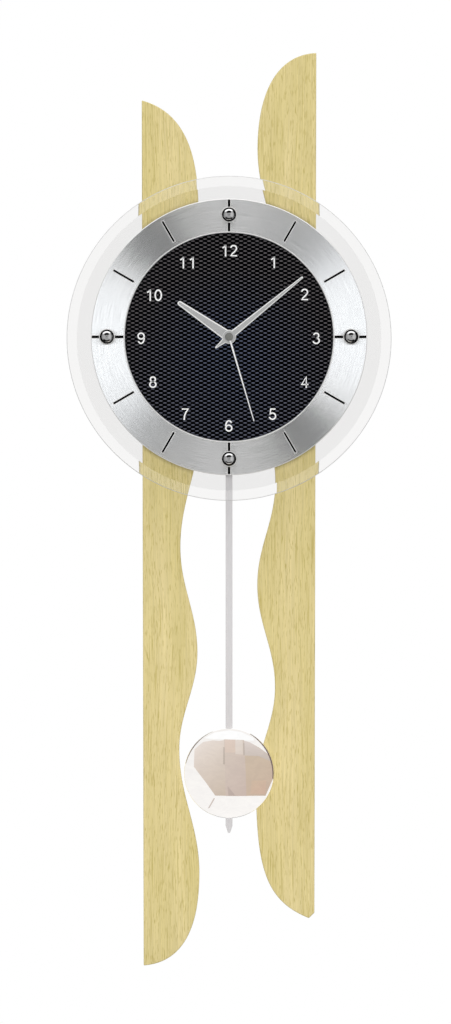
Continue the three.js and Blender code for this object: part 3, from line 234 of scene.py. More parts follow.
def arc(radius, x, y, start, end, steps):
    """Points of an arc about (x, y), by angles in degrees from the right."""
    turns = [polar(radius, start + (end - start) * k / steps) for k in range(steps + 1)]
    return [(x + across, y + up) for across, up in turns]


def rectangle(left, right, bottom, top):
    return [(left, bottom), (right, bottom), (right, top), (left, top)]


# Meshes in drawing coordinates, (x, y, depth)
def mesh_from(bm, name="shape"):
    mesh = bpy.data.meshes.new(name)
    bm.to_mesh(mesh)
    bm.free()
    return mesh


def solid_from(bm):
    bmesh.ops.recalc_face_normals(bm, faces=bm.faces)
    return mesh_from(bm)


def add_walls(bm, rows, closed=False):
    """Faces between each row of vertices and the next, and from the last to the first if closed."""
    for low, high in zip(rows, rows[1:] + rows[:1] if closed else rows[1:]):
        for k in range(len(low)):
            after = (k + 1) % len(low)
            corners = dict.fromkeys((low[k], low[after], high[after], high[k]))
            bm.faces.new(list(corners))


def lofted(loops):
    """A closed body through loops of points, capped at both ends."""
    bm = bmesh.new()
    rows = [[bm.verts.new(point) for point in loop] for loop in loops]
    bm.faces.new(rows[0])
    bm.faces.new(rows[-1])
    add_walls(bm, rows)
    return solid_from(bm)


def prism(outline, back, front):
    return lofted([[(x, y, back) for x, y in outline], [(x, y, front) for x, y in outline]])


def turned(profile, facets, x=0, y=0):
    """A profile of (radius, depth) revolved about an axis through (x, y). One that starts at the
    axis ends there too, and any other closes into a ring."""
    closed = profile[0][0] > 0
    bm = bmesh.new()
    rows = []
    for radius, depth in profile:
        if radius == 0:
            rows.append([bm.verts.new((x, y, depth))] * facets)
            continue
        turns = [2 * math.pi * (k + 0.5) / facets for k in range(facets)]
        circle = [(x + radius * math.cos(t), y + radius * math.sin(t)) for t in turns]
        rows.append([bm.verts.new((*point, depth)) for point in circle])
    add_walls(bm, rows, closed)
    return solid_from(bm)


def cylinder(radius, back, front, x=0, y=0):
    return turned([(0, back), (radius, back), (radius, front), (0, front)], CUTTER_FACETS, x, y)


def tube(bore, radius, back, front, ease):
    """The profile of a tube, or a rod if the bore is 0, with eased outer edges."""
    outside = [(radius - ease, back), (radius, back + ease), (radius, front - ease), (radius - ease, front)]
    return [(bore, back), *outside, (bore, front)]


def linked(name, data):
    """A new object in the scene."""
    thing = bpy.data.objects.new(name, data)
    bpy.context.scene.collection.objects.link(thing)
    return thing


def with_modifiers(mesh, add_modifiers):
    """A copy of a mesh after the modifiers that add_modifiers puts on it."""
    holder = linked("holder", mesh)
    add_modifiers(holder.modifiers)
    changed = bpy.data.meshes.new_from_object(holder.evaluated_get(bpy.context.evaluated_depsgraph_get()))
    bpy.data.objects.remove(holder)
    return changed


def softened(mesh, width, segments=3, angle=50):
    """Rounds every edge that is sharper than an angle in degrees."""

    def add(modifiers):
        bevel = modifiers.new("ease", "BEVEL")
        bevel.width = width
        bevel.segments = segments
        bevel.limit_method = "ANGLE"
        bevel.angle_limit = math.radians(angle)

    return with_modifiers(mesh, add)


def combined(mesh, operation, tools):
    """Cuts a mesh by others, or joins it to them."""
    objects = [linked("tool", tool) for tool in tools]

    def add(modifiers):
        for tool in objects:
            step = modifiers.new("step", "BOOLEAN")
            step.operation = operation
            step.solver = "EXACT"
            step.object = tool

    result = with_modifiers(mesh, add)
    for tool in objects:
        bpy.data.objects.remove(tool)
    return result


def ribbon(points, width, back, front, closed=False):
    """A flat stroke of even width along a middle line."""
    bm = bmesh.new()
    rows = []
    count = len(points)
    for k, (x, y) in enumerate(points):
        before = points[k - 1] if k or closed else (x, y)
        after = points[(k + 1) % count] if k + 1 < count or closed else (x, y)
        arms = [(x - before[0], y - before[1]), (after[0] - x, after[1] - y)]
        units = [(a / math.hypot(a, b), b / math.hypot(a, b)) for a, b in arms if math.hypot(a, b) > 1e-9]
        along = (sum(u[0] for u in units), sum(u[1] for u in units))
        size = math.hypot(*along) or 1
        side = (-along[1] / size, along[0] / size)
        spread = width / 2 * min(MITRE_LIMIT, len(units) / size)
        ends = [(x + sign * side[0] * spread, y + sign * side[1] * spread) for sign in (-1, 1)]
        corners = zip(ends + ends[::-1], (back, back, front, front))
        rows.append([bm.verts.new((*end, depth)) for end, depth in corners])
    if not closed:
        bm.faces.new(rows[0])
        bm.faces.new(rows[-1])
    add_walls(bm, rows, closed)
    return solid_from(bm)


def rotated(mesh, clockwise):
    """Turns a mesh about the dial's axis, by degrees clockwise."""
    turn = math.radians(-clockwise)
    for vertex in mesh.vertices:
        x, y, depth = vertex.co
        vertex.co = (x * math.cos(turn) - y * math.sin(turn), x * math.sin(turn) + y * math.cos(turn), depth)
    return mesh


def joined(meshes):
    bm = bmesh.new()
    for mesh in meshes:
        bm.from_mesh(mesh)
    return solid_from(bm)


def in_world(x, y, depth):
    """A point of the drawing in the frame's own metres."""
    return x * MM, -depth * MM, (y - DIAL_BELOW_NAIL) * MM


def add_piece(name, mesh, slot, *nodes, body="clock_body", finish=None, sharp=11):
    """Puts a mesh into the frame as a piece that rides a body and may replace CAD nodes."""
    for vertex in mesh.vertices:
        vertex.co = in_world(*vertex.co)
    mesh.name = name
    mesh.materials.clear()
    mesh.materials.append(finish or finishes[slot])
    mesh.polygons.foreach_set("use_smooth", [True] * len(mesh.polygons))
    mesh.set_sharp_from_angle(angle=math.radians(sharp))
    piece = linked(name, mesh)
    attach(piece, body)
    if nodes:
        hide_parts(*nodes)
    return piece


def refinish(piece, finish, chosen):
    """Gives another material to the faces of a piece that a test on them picks."""
    piece.data.materials.append(finish)
    for polygon in piece.data.polygons:
        if chosen(polygon):
            polygon.material_index = 1


def reaches(piece, polygon, y=0):
    """How far the corners of a face lie from the dial's axis or one that is y higher."""
    corners = [piece.data.vertices[k].co for k in polygon.vertices]
    return [math.hypot(c.x, c.z + (DIAL_BELOW_NAIL - y) * MM) / MM for c in corners]


# Materials
def seen(*levels):
    """A colour or a grey as a screen shows it, 0 to 255, as the linear colour that shaders take."""

    def linear(level):
        share = level / 255
        return share / 12.92 if share <= 0.04045 else ((share + 0.055) / 1.055) ** 2.4

    red, green, blue = levels if len(levels) == 3 else levels * 3
    return (linear(red), linear(green), linear(blue), 1)


class Nodes:
    """Short ways to add nodes to a tree."""

    def __init__(self, tree):
        self.tree = tree

    def add(self, kind, inputs=None, **settings):
        node = self.tree.nodes.new("ShaderNode" + kind)
        for name, value in settings.items():
            setattr(node, name, value)
        for socket, value in (inputs or {}).items():
            self.put(node.inputs[socket], value)
        return node

    def put(self, socket, value):
        if isinstance(value, bpy.types.NodeSocket):
            self.tree.links.new(value, socket)
        else:
            socket.default_value = value

    def math(self, operation, first, second=0.0, third=0.0):
        return self.add("Math", {0: first, 1: second, 2: third}, operation=operation).outputs[0]

    def mix(self, share, first, second, blend="MIX"):
        node = self.add("Mix", {0: share, 6: first, 7: second}, data_type="RGBA", blend_type=blend)
        return node.outputs[2]

    def ramp(self, value, stops, interpolation="LINEAR"):
        """Stops are (position, colour) or (position, grey)."""
        node = self.add("ValToRGB", {0: value})
        node.color_ramp.interpolation = interpolation
        elements = node.color_ramp.elements
        while len(elements) < len(stops):
            elements.new(0.5)
        for element, (position, colour) in zip(elements, stops):
            element.position = position
            element.color = colour if isinstance(colour, tuple) else (colour, colour, colour, 1)
        return node.outputs[0]

    def between(self, value, start, end, low=0.0, high=1.0):
        """From one colour or grey to another while a value goes from start to end."""
        return self.ramp(value, [(start, low), (end, high)])

    def tones(self, noise, low, high):
        """Two colours or greys over the middle of a noise's range."""
        return self.between(noise, 0.3, 0.7, low, high)

    def coordinates(self, scale=(1, 1, 1), shift=(0, 0, 0)):
        place = self.add("TexCoord").outputs["Object"]
        return self.add("Mapping", {"Vector": place, "Scale": scale, "Location": shift}).outputs[0]

    def axes(self, vector):
        return self.add("SeparateXYZ", {0: vector}).outputs

    def noise(self, scale, stretch=(1, 1, 1), detail=2.0, distortion=0.0, vector=None):
        place = self.coordinates(stretch) if vector is None else vector
        inputs = {"Vector": place, "Scale": scale, "Detail": detail, "Distortion": distortion}
        return self.add("TexNoise", inputs).outputs["Fac"]


class Finish(Nodes):
    """A material, with constant values set on the shader's own sockets."""

    def __init__(self, name, **values):
        self.material = bpy.data.materials.new(name)
        self.material.use_nodes = True
        super().__init__(self.material.node_tree)
        self.shader = self.tree.nodes["Principled BSDF"]
        for socket, value in values.items():
            self.set(socket.replace("_", " "), value)

    def set(self, socket, value):
        self.put(self.shader.inputs[socket], value)

    def paint(self, colour, tone=None):
        """Sets the base colour, which may be a colour times a tone."""
        self.set("Base Color", colour if tone is None else self.mix(1.0, colour, tone, "MULTIPLY"))

    def roughen(self, value, spread, middle):
        """Roughness that varies with a value from 0 to 1, by a spread about its middle."""
        self.set("Roughness", self.math("MULTIPLY_ADD", value, spread, middle - spread / 2))

    def bump(self, height, distance):
        node = self.add("Bump", {"Height": height, "Distance": distance, "Strength": 1.0})
        self.set("Normal", node.outputs[0])


def pale_wood():
    """Light veneer with fine upright fibres and short darker pores."""
    wood = Finish("pale_wood", Roughness=0.55)
    sway = wood.add("TexNoise", {"Vector": wood.coordinates((1, 1, 0.25)), "Scale": 28.0, "Detail": 2.0})
    swaying = {0: sway.outputs["Color"], 1: (0.009, 0.0, 0.0), 2: wood.coordinates()}
    swayed = wood.add("VectorMath", swaying, operation="MULTIPLY_ADD").outputs[0]

    def upright(scale, length, detail):
        stretched = wood.add("Mapping", {"Vector": swayed, "Scale": (1, 1, length)}).outputs[0]
        return wood.noise(scale, detail=detail, vector=stretched)

    broad = wood.tones(upright(70.0, 0.1, 2.0), seen(232, 215, 158), seen(221, 205, 142))
    fibre = wood.tones(upright(1500.0, 0.012, 2.0), 0.89, 1.06)
    tone = wood.mix(1.0, broad, fibre, "MULTIPLY")
    short = wood.between(upright(2100.0, 0.07, 1.0), 0.59, 0.72, high=0.75)
    long = wood.between(upright(1100.0, 0.018, 1.0), 0.6, 0.71, high=0.62)
    pores = wood.math("MAXIMUM", short, long)
    wood.paint(wood.mix(pores, tone, seen(180, 163, 84)))
    wood.bump(wood.math("SUBTRACT", fibre, pores), 0.00008)
    return wood.material


def moulded(name, colour, roughness, grain=0.00003):
    """Plastic with a fine moulded texture and faint unevenness."""
    plastic = Finish(name)
    plastic.paint(colour, plastic.between(plastic.noise(45.0, detail=3.0), 0.35, 0.65, 0.92, 1.06))
    speckle = plastic.noise(2600.0, detail=1.0)
    plastic.roughen(speckle, 0.16, roughness)
    plastic.bump(speckle, grain)
    return plastic.material


def metal(name, colour, roughness, stretch=(1, 1, 1), scale=900.0, depth=0.00001):
    """Metal with brushing or tooling marks along one direction."""
    surface = Finish(name, Metallic=1.0)
    marks = surface.noise(scale, stretch, detail=3.0)
    surface.paint(colour, surface.between(marks, 0.25, 0.75, 0.9, 1.04))
    surface.roughen(marks, 0.14, roughness)
    surface.bump(marks, depth)
    return surface.material


def plating(surface, scale, darkest):
    """Gives a mirror hardly visible wipe marks, and tells its tone."""
    wipes = surface.noise(scale, (1, 1, 2), detail=3.0, distortion=1.0)
    surface.roughen(wipes, 0.03, 0.035)
    return surface.tones(wipes, darkest, seen(250))


def chrome():
    surface = Finish("polished_chrome", Metallic=1.0)
    surface.paint(plating(surface, 120.0, seen(244, 244, 245)))
    return surface.material


def ball_chrome():
    """Plating of the ball studs with a painted reflection, dull in the very middle and dark towards the rim.
    """
    surface = Finish("ball_chrome", Metallic=1.0, Specular_Tint=(0.15, 0.15, 0.15, 1))
    facing = surface.add("LayerWeight", {"Blend": 0.5}).outputs["Facing"]
    # Painted reflection: the colour darkens with how squarely a face is seen, for the dark room the balls
    # would mirror.
    painted_reflection_shade = surface.ramp(facing, [(0.02, 0.3), (0.03, 0.9), (0.34, 0.9), (0.4, 0.02)])
    surface.paint(plating(surface, 300.0, seen(240, 240, 241)), painted_reflection_shade)
    return surface.material


def dial_radius(surface):
    """The distance from the dial's axis, in metres."""
    from_axis = surface.coordinates(shift=(0, 0, DIAL_BELOW_NAIL * MM), scale=(1, 0, 1))
    return surface.add("VectorMath", {0: from_axis}, operation="LENGTH").outputs["Value"]


def brushed_ring():
    """Aluminium brushed in circles about the dial's axis."""
    surface = Finish("brushed_aluminium", Metallic=1.0, Anisotropic=1.0, Anisotropic_Rotation=0.25)
    radius = dial_radius(surface)
    x, y, z = surface.axes(surface.coordinates(shift=(0, 0, DIAL_BELOW_NAIL * MM)))
    angle = surface.math("ARCTAN2", x, z)
    parts = {0: surface.math("MULTIPLY", radius, 1700.0), 1: surface.math("MULTIPLY", angle, 4.0)}
    strokes = surface.add("CombineXYZ", parts).outputs[0]
    lines = surface.noise(1.0, detail=3.0, vector=strokes)
    surface.paint(surface.tones(lines, seen(236), seen(253)))
    surface.roughen(lines, 0.04, 0.17)
    surface.set("Tangent", surface.add("Tangent", direction_type="RADIAL", axis="Y").outputs[0])
    surface.bump(lines, 0.000004)
    return surface.material


def woven_dial():
    """Dark foil with staggered rows of soft lens-shaped cells, with a painted blue reflection low in the
    middle.
    """
    surface = Finish("dial_weave", Specular_IOR_Level=0.04)
    x, y, z = surface.axes(surface.coordinates())
    columns, rows = (surface.math("DIVIDE", *pair) for pair in zip((x, z), WEAVE_CELL))
    odd = surface.math("FLOORED_MODULO", surface.math("FLOOR", rows), 2.0)
    columns = surface.math("MULTIPLY_ADD", odd, 0.5, columns)

    def arch(value):
        return surface.math("SINE", surface.math("MULTIPLY", surface.math("FRACT", value), math.pi))

    middle = surface.ramp(arch(columns), [(0.5, 0.0), (0.92, 1.0)], "EASE")
    cell = surface.math("MULTIPLY", arch(rows), middle)
    light = surface.ramp(cell, [(0.4, 0.0), (0.76, 0.28), (1.0, 1.0)])
    radius = dial_radius(surface)
    # Painted reflection: the light cells turn bluer low in the middle of the dial.
    lower = surface.math("MULTIPLY_ADD", z, -6.0, -0.2)
    blue = surface.math("SUBTRACT", surface.math("ADD", lower, 0.75), surface.math("MULTIPLY", radius, 12.0))
    glow = surface.mix(surface.between(blue, 0.0, 0.9), seen(122, 118, 121), seen(114, 123, 148))
    surface.paint(surface.mix(light, seen(2, 2, 3), glow))
    surface.roughen(light, -0.15, 0.525)
    surface.bump(cell, 0.0001)
    return surface.material


def clear_glass():
    glass = Finish("clear_glass", Transmission_Weight=1.0, IOR=1.5, Roughness=0.0)
    glass.paint(glass.tones(glass.noise(9.0, detail=1.0), seen(254), seen(255)))
    return glass.material


def ground_edge():
    """The glass's rim, ground but not polished clear."""
    edge = Finish("ground_glass_edge", Transmission_Weight=0.25, IOR=1.5, Roughness=0.5)
    edge.paint(edge.tones(edge.noise(400.0), seen(208, 208, 207), seen(222, 222, 221)))
    return edge.material


def satin(name, colour, metallic, roughness):
    """Satin metal whose lacquer evens out what it mirrors."""
    surface = Finish(name, Metallic=metallic)
    marks = surface.noise(1500.0, (1, 1, 0.1))
    surface.paint(colour, surface.tones(marks, 0.96, 1.02))
    surface.roughen(marks, 0.1, roughness)
    surface.bump(marks, 0.000004)
    return surface.material


def printed(name, colour):
    """Screen-printed ink or enamel."""
    ink = Finish(name, Specular_IOR_Level=0.1)
    uneven = ink.noise(1500.0)
    ink.paint(colour, ink.tones(uneven, 0.94, 1.0))
    ink.roughen(uneven, 0.1, 0.45)
    ink.bump(uneven, 0.00001)
    return ink.material


def wound_copper():
    """Enamelled copper wire in tight turns along X."""
    wire = Finish("copper_wire", Metallic=1.0, Roughness=0.35)
    wave = wire.add("TexWave", {"Vector": wire.coordinates(), "Scale": 700.0}, bands_direction="X")
    turns = wave.outputs["Fac"]
    wire.paint(wire.between(turns, 0.0, 0.6, seen(96, 44, 20), seen(196, 112, 62)))
    wire.bump(turns, 0.00015)
    return wire.material


def circuit():
    """Green solder mask with faint tracks."""
    board = Finish("circuit_green", Roughness=0.4)
    inputs = {
        "Vector": board.coordinates(),
        "Color1": seen(44, 108, 70),
        "Color2": seen(38, 98, 62),
        "Mortar": seen(74, 146, 96),
        "Scale": 260.0,
        "Mortar Size": 0.04,
    }
    tracks = board.add("TexBrick", inputs)
    board.paint(tracks.outputs["Color"])
    board.bump(tracks.outputs["Fac"], 0.00003)
    return board.material


def felt():
    pad = Finish("felt", Roughness=0.95, Sheen_Weight=0.4)
    fuzz = pad.noise(1800.0, detail=4.0)
    pad.paint(pad.tones(fuzz, seen(86, 85, 83), seen(128, 126, 123)))
    pad.bump(fuzz, 0.0002)
    return pad.material


def battery_sleeve():
    """A printed sleeve in two plain colours."""
    sleeve = Finish("battery_sleeve", Roughness=0.35)
    band = sleeve.math("GREATER_THAN", sleeve.axes(sleeve.coordinates())["X"], 0.012)
    colours = sleeve.mix(band, seen(52, 92, 138), seen(196, 160, 88))
    sleeve.paint(colours, sleeve.tones(sleeve.noise(300.0), 0.95, 1.03))
    return sleeve.material


finishes = {
    "pale_wood": pale_wood(),
    "black_plastic": moulded("black_plastic", seen(30, 30, 32), 0.55),
    "white_plastic": moulded("white_plastic", seen(246, 245, 243), 0.45, 0.00001),
    "dial_face": woven_dial(),
    "brushed_aluminium": brushed_ring(),
    "polished_chrome": chrome(),
    "zinc_steel": metal("zinc_steel", seen(190, 192, 194), 0.4, (1, 1, 0.1)),
    "dark_steel": metal("dark_steel", seen(120, 121, 124), 0.42, (0.2, 1, 1)),
    "copper_wire": wound_copper(),
    "brass": metal("brass", seen(206, 172, 98), 0.35, (1, 0.1, 1)),
    "hand_metal": metal("hand_metal", seen(226, 223, 219), 0.38, (1, 1, 0.08), 1400.0, 0.000004),
    "clear_glass": clear_glass(),
    "ferrite": moulded("ferrite", seen(60, 60, 64), 0.8, 0.00006),
    "circuit_green": circuit(),
    "felt": felt(),
    "battery_sleeve": battery_sleeve(),
}
ball_plating_and_painted_reflection = ball_chrome()
white_ink = printed("white_ink", seen(255))
black_enamel = printed("black_enamel", seen(3, 3, 4))
# Near-white satin that paints a highlight on polished edges: the ring's rim and bead, and round the hour
# marks.
polished_edge_painted_highlight = satin("polished_edge_painted_highlight", seen(250, 249, 248), 0.2, 0.3)
rod_satin = satin("rod_satin", seen(220, 218, 219), 0.1, 0.5)
hand_satin = satin("hand_satin", seen(189), 0.2, 0.4)
second_satin = satin("second_hand_satin", seen(253), 0.0, 0.4)
hand_bevel_painted_highlight = satin("hand_bevel_polished_painted_highlight", seen(250, 250, 249), 0.1, 0.3)
cap_satin = satin("hub_cap_satin", seen(132, 132, 128), 0.3, 0.4)

for subpart in frame["record"]["subparts"]:
    node = frame["nodes"][subpart["node"]]
    node.data.materials.clear()
    node.data.materials.append(finishes[subpart["material_slot"]])


# Boards
def bezier(start, first, second, end):
    """Points along a cubic curve, without its start."""
    points = []
    for k in range(1, CURVE_STEPS + 1):
        t = k / CURVE_STEPS
        weights = ((1 - t) ** 3, 3 * t * (1 - t) ** 2, 3 * t * t * (1 - t), t**3)
        corners = (start, first, second, end)
        points.append(tuple(sum(w * c[axis] for w, c in zip(weights, corners)) for axis in (0, 1)))
    return points


def board_outline(side, top_y, top_handle, turns, bottom_handle, bottom_y, bottom_chamfer):
    bottom_x = side * (BOARD_OUTER_X - BOARD_TAPER)
    top = (side * BOARD_OUTER_X, top_y)
    foot = (bottom_x - side * bottom_chamfer, bottom_y)
    out, down = polar(*top_handle[:2])
    first, last = turns[0], turns[-1]
    points = [top]
    points += bezier(top, (top[0] - side * out, top_y - down), (first[0], first[1] + top_handle[2]), first)
    for upper, lower in zip(turns, turns[1:]):
        handle = (upper[1] - lower[1]) * WAVE_EASE
        points += bezier(upper, (upper[0], upper[1] - handle), (lower[0], lower[1] + handle), lower)
    out, up = polar(*bottom_handle[:2])
    points += bezier(last, (last[0], last[1] - bottom_handle[2]), (foot[0] - side * out, bottom_y + up), foot)
    if bottom_chamfer:
        points.append((bottom_x, bottom_y + bottom_chamfer))
    return points


def add_board(name, board):
    place = Extent(name)
    side = board["side"]
    mesh = softened(prism(board_outline(**board), place.back, place.front), BOARD_EASE)
    behind = place.back - BEYOND
    holes = []
    for up in (1, -1):
        x, y = side * CASE_SCREW_PLACE[0], up * CASE_SCREW_PLACE[1]
        holes.append(cylinder(SHANK_HOLE_RADIUS, behind, place.front + BEYOND, x, y))
        holes.append(cylinder(COUNTERBORE[0], behind, place.back + COUNTERBORE[1], x, y))
    x, y = side * STRAP_SCREW_PLACE[0], STRAP_SCREW_PLACE[1]
    holes.append(cylinder(SHANK_HOLE_RADIUS, behind, place.back + STRAP_SCREW_DEPTH, x, y))
    mesh = combined(mesh, "DIFFERENCE", holes)
    add_piece(name + "_veneered", mesh, "pale_wood", name)


for board_name, board_data in BOARDS.items():
    add_board(board_name, board_data)


# Rear case, dial plate, ring, disc, marks and numerals
ring = Extent("dial_ring")
ring_inner = Extent("dial_disc").radius + DISC_GAP
stud_places = {hour: Extent(f"ball_stud_{hour}") for hour in (12, 3, 6, 9)}


def stud_cutters(radius, back, front, rise=0):
    studs = stud_places.values()
    return [cylinder(radius, back - BEYOND, front + BEYOND, stud.x, stud.y + rise) for stud in studs]


def case_rib(inner, outer, angle, back, front):
    corners = rectangle(inner, outer, -RIB_THICKNESS / 2, RIB_THICKNESS / 2)
    across, up = polar(1, angle), polar(1, angle + 90)
    outline = [(x * across[0] + y * up[0], x * across[1] + y * up[1]) for x, y in corners]
    return prism(outline, back, front)


def movement_box(margin, back, front):
    """A box with round corners, larger than the movement by a margin."""
    left, right, bottom, top, corner = MOVEMENT_OUTLINE
    outline = []
    for x, y, start in ((right, bottom, -90), (right, top, 0), (left, top, 90), (left, bottom, 180)):
        middle = (x - math.copysign(corner, x), y - math.copysign(corner, y))
        outline += arc(corner + margin, *middle, start, start + 90, 8)
    return prism(outline, back, front)


def add_case():
    """The drum between the boards and the dial, open at the back."""
    case = Extent("rear_case")
    inside = case.front - CASE_WALL
    inner = CASE_RADIUS - CASE_WALL
    edge_radius = CASE_RADIUS - CASE_EDGE_EASE
    profile = [
        (0, inside),
        (inner, inside),
        (inner + CASE_DRAFT, case.back),
        (CASE_RADIUS - CASE_MOUTH_EASE, case.back),
        (CASE_RADIUS, case.back + CASE_MOUTH_EASE),
        *arc(CASE_EDGE_EASE, edge_radius, case.front - CASE_EDGE_EASE, 0, 90, 6),
        (0, case.front),
    ]
    mesh = turned(profile, CASE_FACETS)
    screws = [(x * CASE_SCREW_PLACE[0], y * CASE_SCREW_PLACE[1]) for x in (-1, 1) for y in (-1, 1)]
    boss_reach = math.hypot(*CASE_SCREW_PLACE)
    rib_end = inner + CASE_WALL / 2
    rib_back = inside - RIB_HEIGHT
    root = inside + OVERLAP
    ribs = [case_rib(RIB_START, rib_end, angle, rib_back, root) for angle in RIB_ANGLES]
    for x, y in screws:
        ribs.append(case_rib(boss_reach, rib_end, math.degrees(math.atan2(y, x)), rib_back, root))
    cradle_back = inside - CRADLE_HEIGHT
    cradle = movement_box(MOVEMENT_GAP + CRADLE_WALL, cradle_back, root)
    cradle_room = movement_box(MOVEMENT_GAP, cradle_back - BEYOND, inside + BEYOND)
    cradle = combined(cradle, "DIFFERENCE", [cradle_room])
    bosses = [cylinder(CASE_BOSS_RADIUS, case.back, root, x, y) for x, y in screws]
    mesh = combined(mesh, "UNION", [joined(ribs), joined(bosses), cradle])
    behind = case.back - BEYOND
    cutters = [cylinder(SHANK_HOLE_RADIUS, behind, inside - PILOT_FLOOR, x, y) for x, y in screws]
    slot = rectangle(-ROD_SLOT_HALF, ROD_SLOT_HALF, -CASE_RADIUS - BEYOND, -CASE_RADIUS / 2)
    cutters.append(prism(slot, behind, case.front - ROD_SLOT_FLOOR))
    cutters.append(cylinder(BUSH_HOLE_RADIUS, inside - BEYOND, case.front + BEYOND))
    cutters += stud_cutters(STUD_HOLE_RADIUS, inside, case.front)
    mesh = combined(mesh, "DIFFERENCE", [joined(cutters)])
    add_piece("rear_case_moulded", mesh, "black_plastic", "rear_case")


def add_plate():
    plate = Extent("dial_plate")
    profile = tube(NUT_POCKET_RADIUS, PLATE_RADIUS, plate.back, plate.front, PLATE_EASE)
    holes = stud_cutters(STUD_HOLE_RADIUS, plate.back, plate.front)
    mesh = combined(turned(profile, CASE_FACETS), "DIFFERENCE", holes)
    add_piece("dial_plate_punched", mesh, "zinc_steel", "dial_plate")


def add_ring():
    groove_inner, groove_outer, groove_depth = GROOVE
    floor = ring.front - groove_depth
    profile = [
        (ring_inner, ring.back),
        (ring.radius, ring.back),
        (ring.radius, ring.front - RING_EASE),
        (ring.radius - RING_EASE, ring.front),
        (groove_outer, ring.front),
        (groove_outer, floor),
        (groove_inner, floor),
        (groove_inner, ring.front),
        (ring_inner, ring.front),
    ]
    holes = stud_cutters(STUD_HOLE_RADIUS, ring.back, ring.front)
    mesh = combined(turned(profile, RING_FACETS), "DIFFERENCE", holes)
    piece = add_piece("dial_ring_brushed", mesh, "brushed_aluminium", "dial_ring")
    # The rounded outer edge is painted near white, a painted highlight.
    eased = ring.radius - RING_EASE * WITHIN
    refinish(piece, polished_edge_painted_highlight, lambda face: min(reaches(piece, face)) > eased)


def add_disc():
    disc = Extent("dial_disc")
    profile = rectangle(DISC_BORE, disc.radius, disc.back, disc.front)
    add_piece("dial_disc_woven", turned(profile, RING_FACETS), "dial_face", "dial_disc")


def mark(hour, border, rise):
    """A bar on the ring that points at the dial's axis, wider by a border."""
    half = (TICK_WIDTH if hour % 3 else BAR_WIDTH) / 2 + border
    inner, outer = TICK_RADII if hour % 3 else (ring_inner + BAR_ENDS[0], ring.radius - BAR_ENDS[1])
    outline = rectangle(-half, half, inner - border, outer + border)
    return rotated(prism(outline, ring.front, ring.front + rise), hour * 30)


def add_marks():
    bars = joined([mark(hour, 0, MARK_RISE) for hour in range(1, 13)])
    add_piece("hour_marks", bars, "brushed_aluminium", finish=black_enamel)
    # White bars a little wider than the marks, just below them: a painted highlight round each mark.
    painted_glint_bars = joined([mark(hour, PAINTED_GLINT_BORDER, MARK_RISE / 2) for hour in range(1, 13)])
    add_piece("hour_mark_painted_glints", painted_glint_bars, "brushed_aluminium", finish=polished_edge_painted_highlight)


def stroke_points(stroke):
    """The points of one stroke of a digit, and whether it closes."""
    points = []
    for piece in stroke:
        if len(piece) == 2:
            points.append(piece)
            continue
        x, y, across, up, start, end = piece
        steps = round(abs(end - start) / ELLIPSE_STEP)
        turns = [math.radians(start + (end - start) * k / steps) for k in range(steps + 1)]
        points += [(x + across * math.cos(t), y + up * math.sin(t)) for t in turns]
    closed = len(stroke[0]) == 6 and abs(stroke[0][5] - stroke[0][4]) == 360
    return points[:-1] if closed else points, closed


def numeral(number):
    """The strokes of a number of the dial, as a thin raised print."""
    text = str(number)
    right, up = NUMERAL_SHIFTS.get(number, (0, 0))
    angle = math.radians(30 * number)
    width = (DIGIT_WIDTH + DIGIT_STEP * (len(text) - 1)) * NUMERAL_HEIGHT
    left = NUMERAL_RADIUS * math.sin(angle) - width / 2 + right
    bottom = NUMERAL_RADIUS * math.cos(angle) - NUMERAL_HEIGHT / 2 - NUMERAL_DROP + up
    back = Extent("dial_disc").front
    strokes = []
    for place, digit in enumerate(text):
        for stroke in DIGITS[digit]:
            points, closed = stroke_points(stroke)
            start = left + place * DIGIT_STEP * NUMERAL_HEIGHT
            drawn = [(start + x * NUMERAL_HEIGHT, bottom + y * NUMERAL_HEIGHT) for x, y in points]
            strokes.append(ribbon(drawn, STROKE * NUMERAL_HEIGHT, back, back + NUMERAL_RISE, closed))
    return joined(strokes)


def add_numerals():
    numerals = joined([numeral(number) for number in range(1, 13)])
    add_piece("dial_numerals", numerals, "dial_face", finish=white_ink, sharp=30)


def add_lip():
    """The polished bead along the ring's inner edge, painted near white as its highlight."""
    profile = arc(LIP_RADIUS, ring_inner + LIP_RADIUS, ring.front, 0, 180, 12)
    mesh = turned(profile, RING_FACETS)
    add_piece("dial_ring_lip", mesh, "brushed_aluminium", finish=polished_edge_painted_highlight, sharp=40)


add_case()
add_plate()
add_ring()
add_lip()
add_disc()
add_marks()
add_numerals()


# Glass, studs and spacers
def add_glass():
    glass = Extent("glass_disc")
    profile = [
        (0, glass.back),
        (glass.radius - GLASS_RIM_EASE, glass.back),
        (glass.radius, glass.back + GLASS_RIM_EASE),
        (glass.radius, glass.back + GLASS_EDGE - GLASS_RIM_EASE),
        (glass.radius - GLASS_RIM_EASE, glass.back + GLASS_EDGE),
        (glass.radius - GLASS_BEVEL, glass.front),
        (0, glass.front),
    ]
    holes = stud_cutters(GLASS_HOLE, glass.back, glass.front, glass.y)
    mesh = combined(turned(profile, RING_FACETS, glass.x, glass.y), "DIFFERENCE", holes)
    piece = add_piece("glass_bevelled", mesh, "clear_glass", "glass_disc", sharp=5)
    piece.visible_diffuse = False
    piece.visible_shadow = False
    rim = glass.radius - GLASS_RIM_EASE * WITHIN
    refinish(piece, ground_edge(), lambda face: min(reaches(piece, face, glass.y)) > rim)


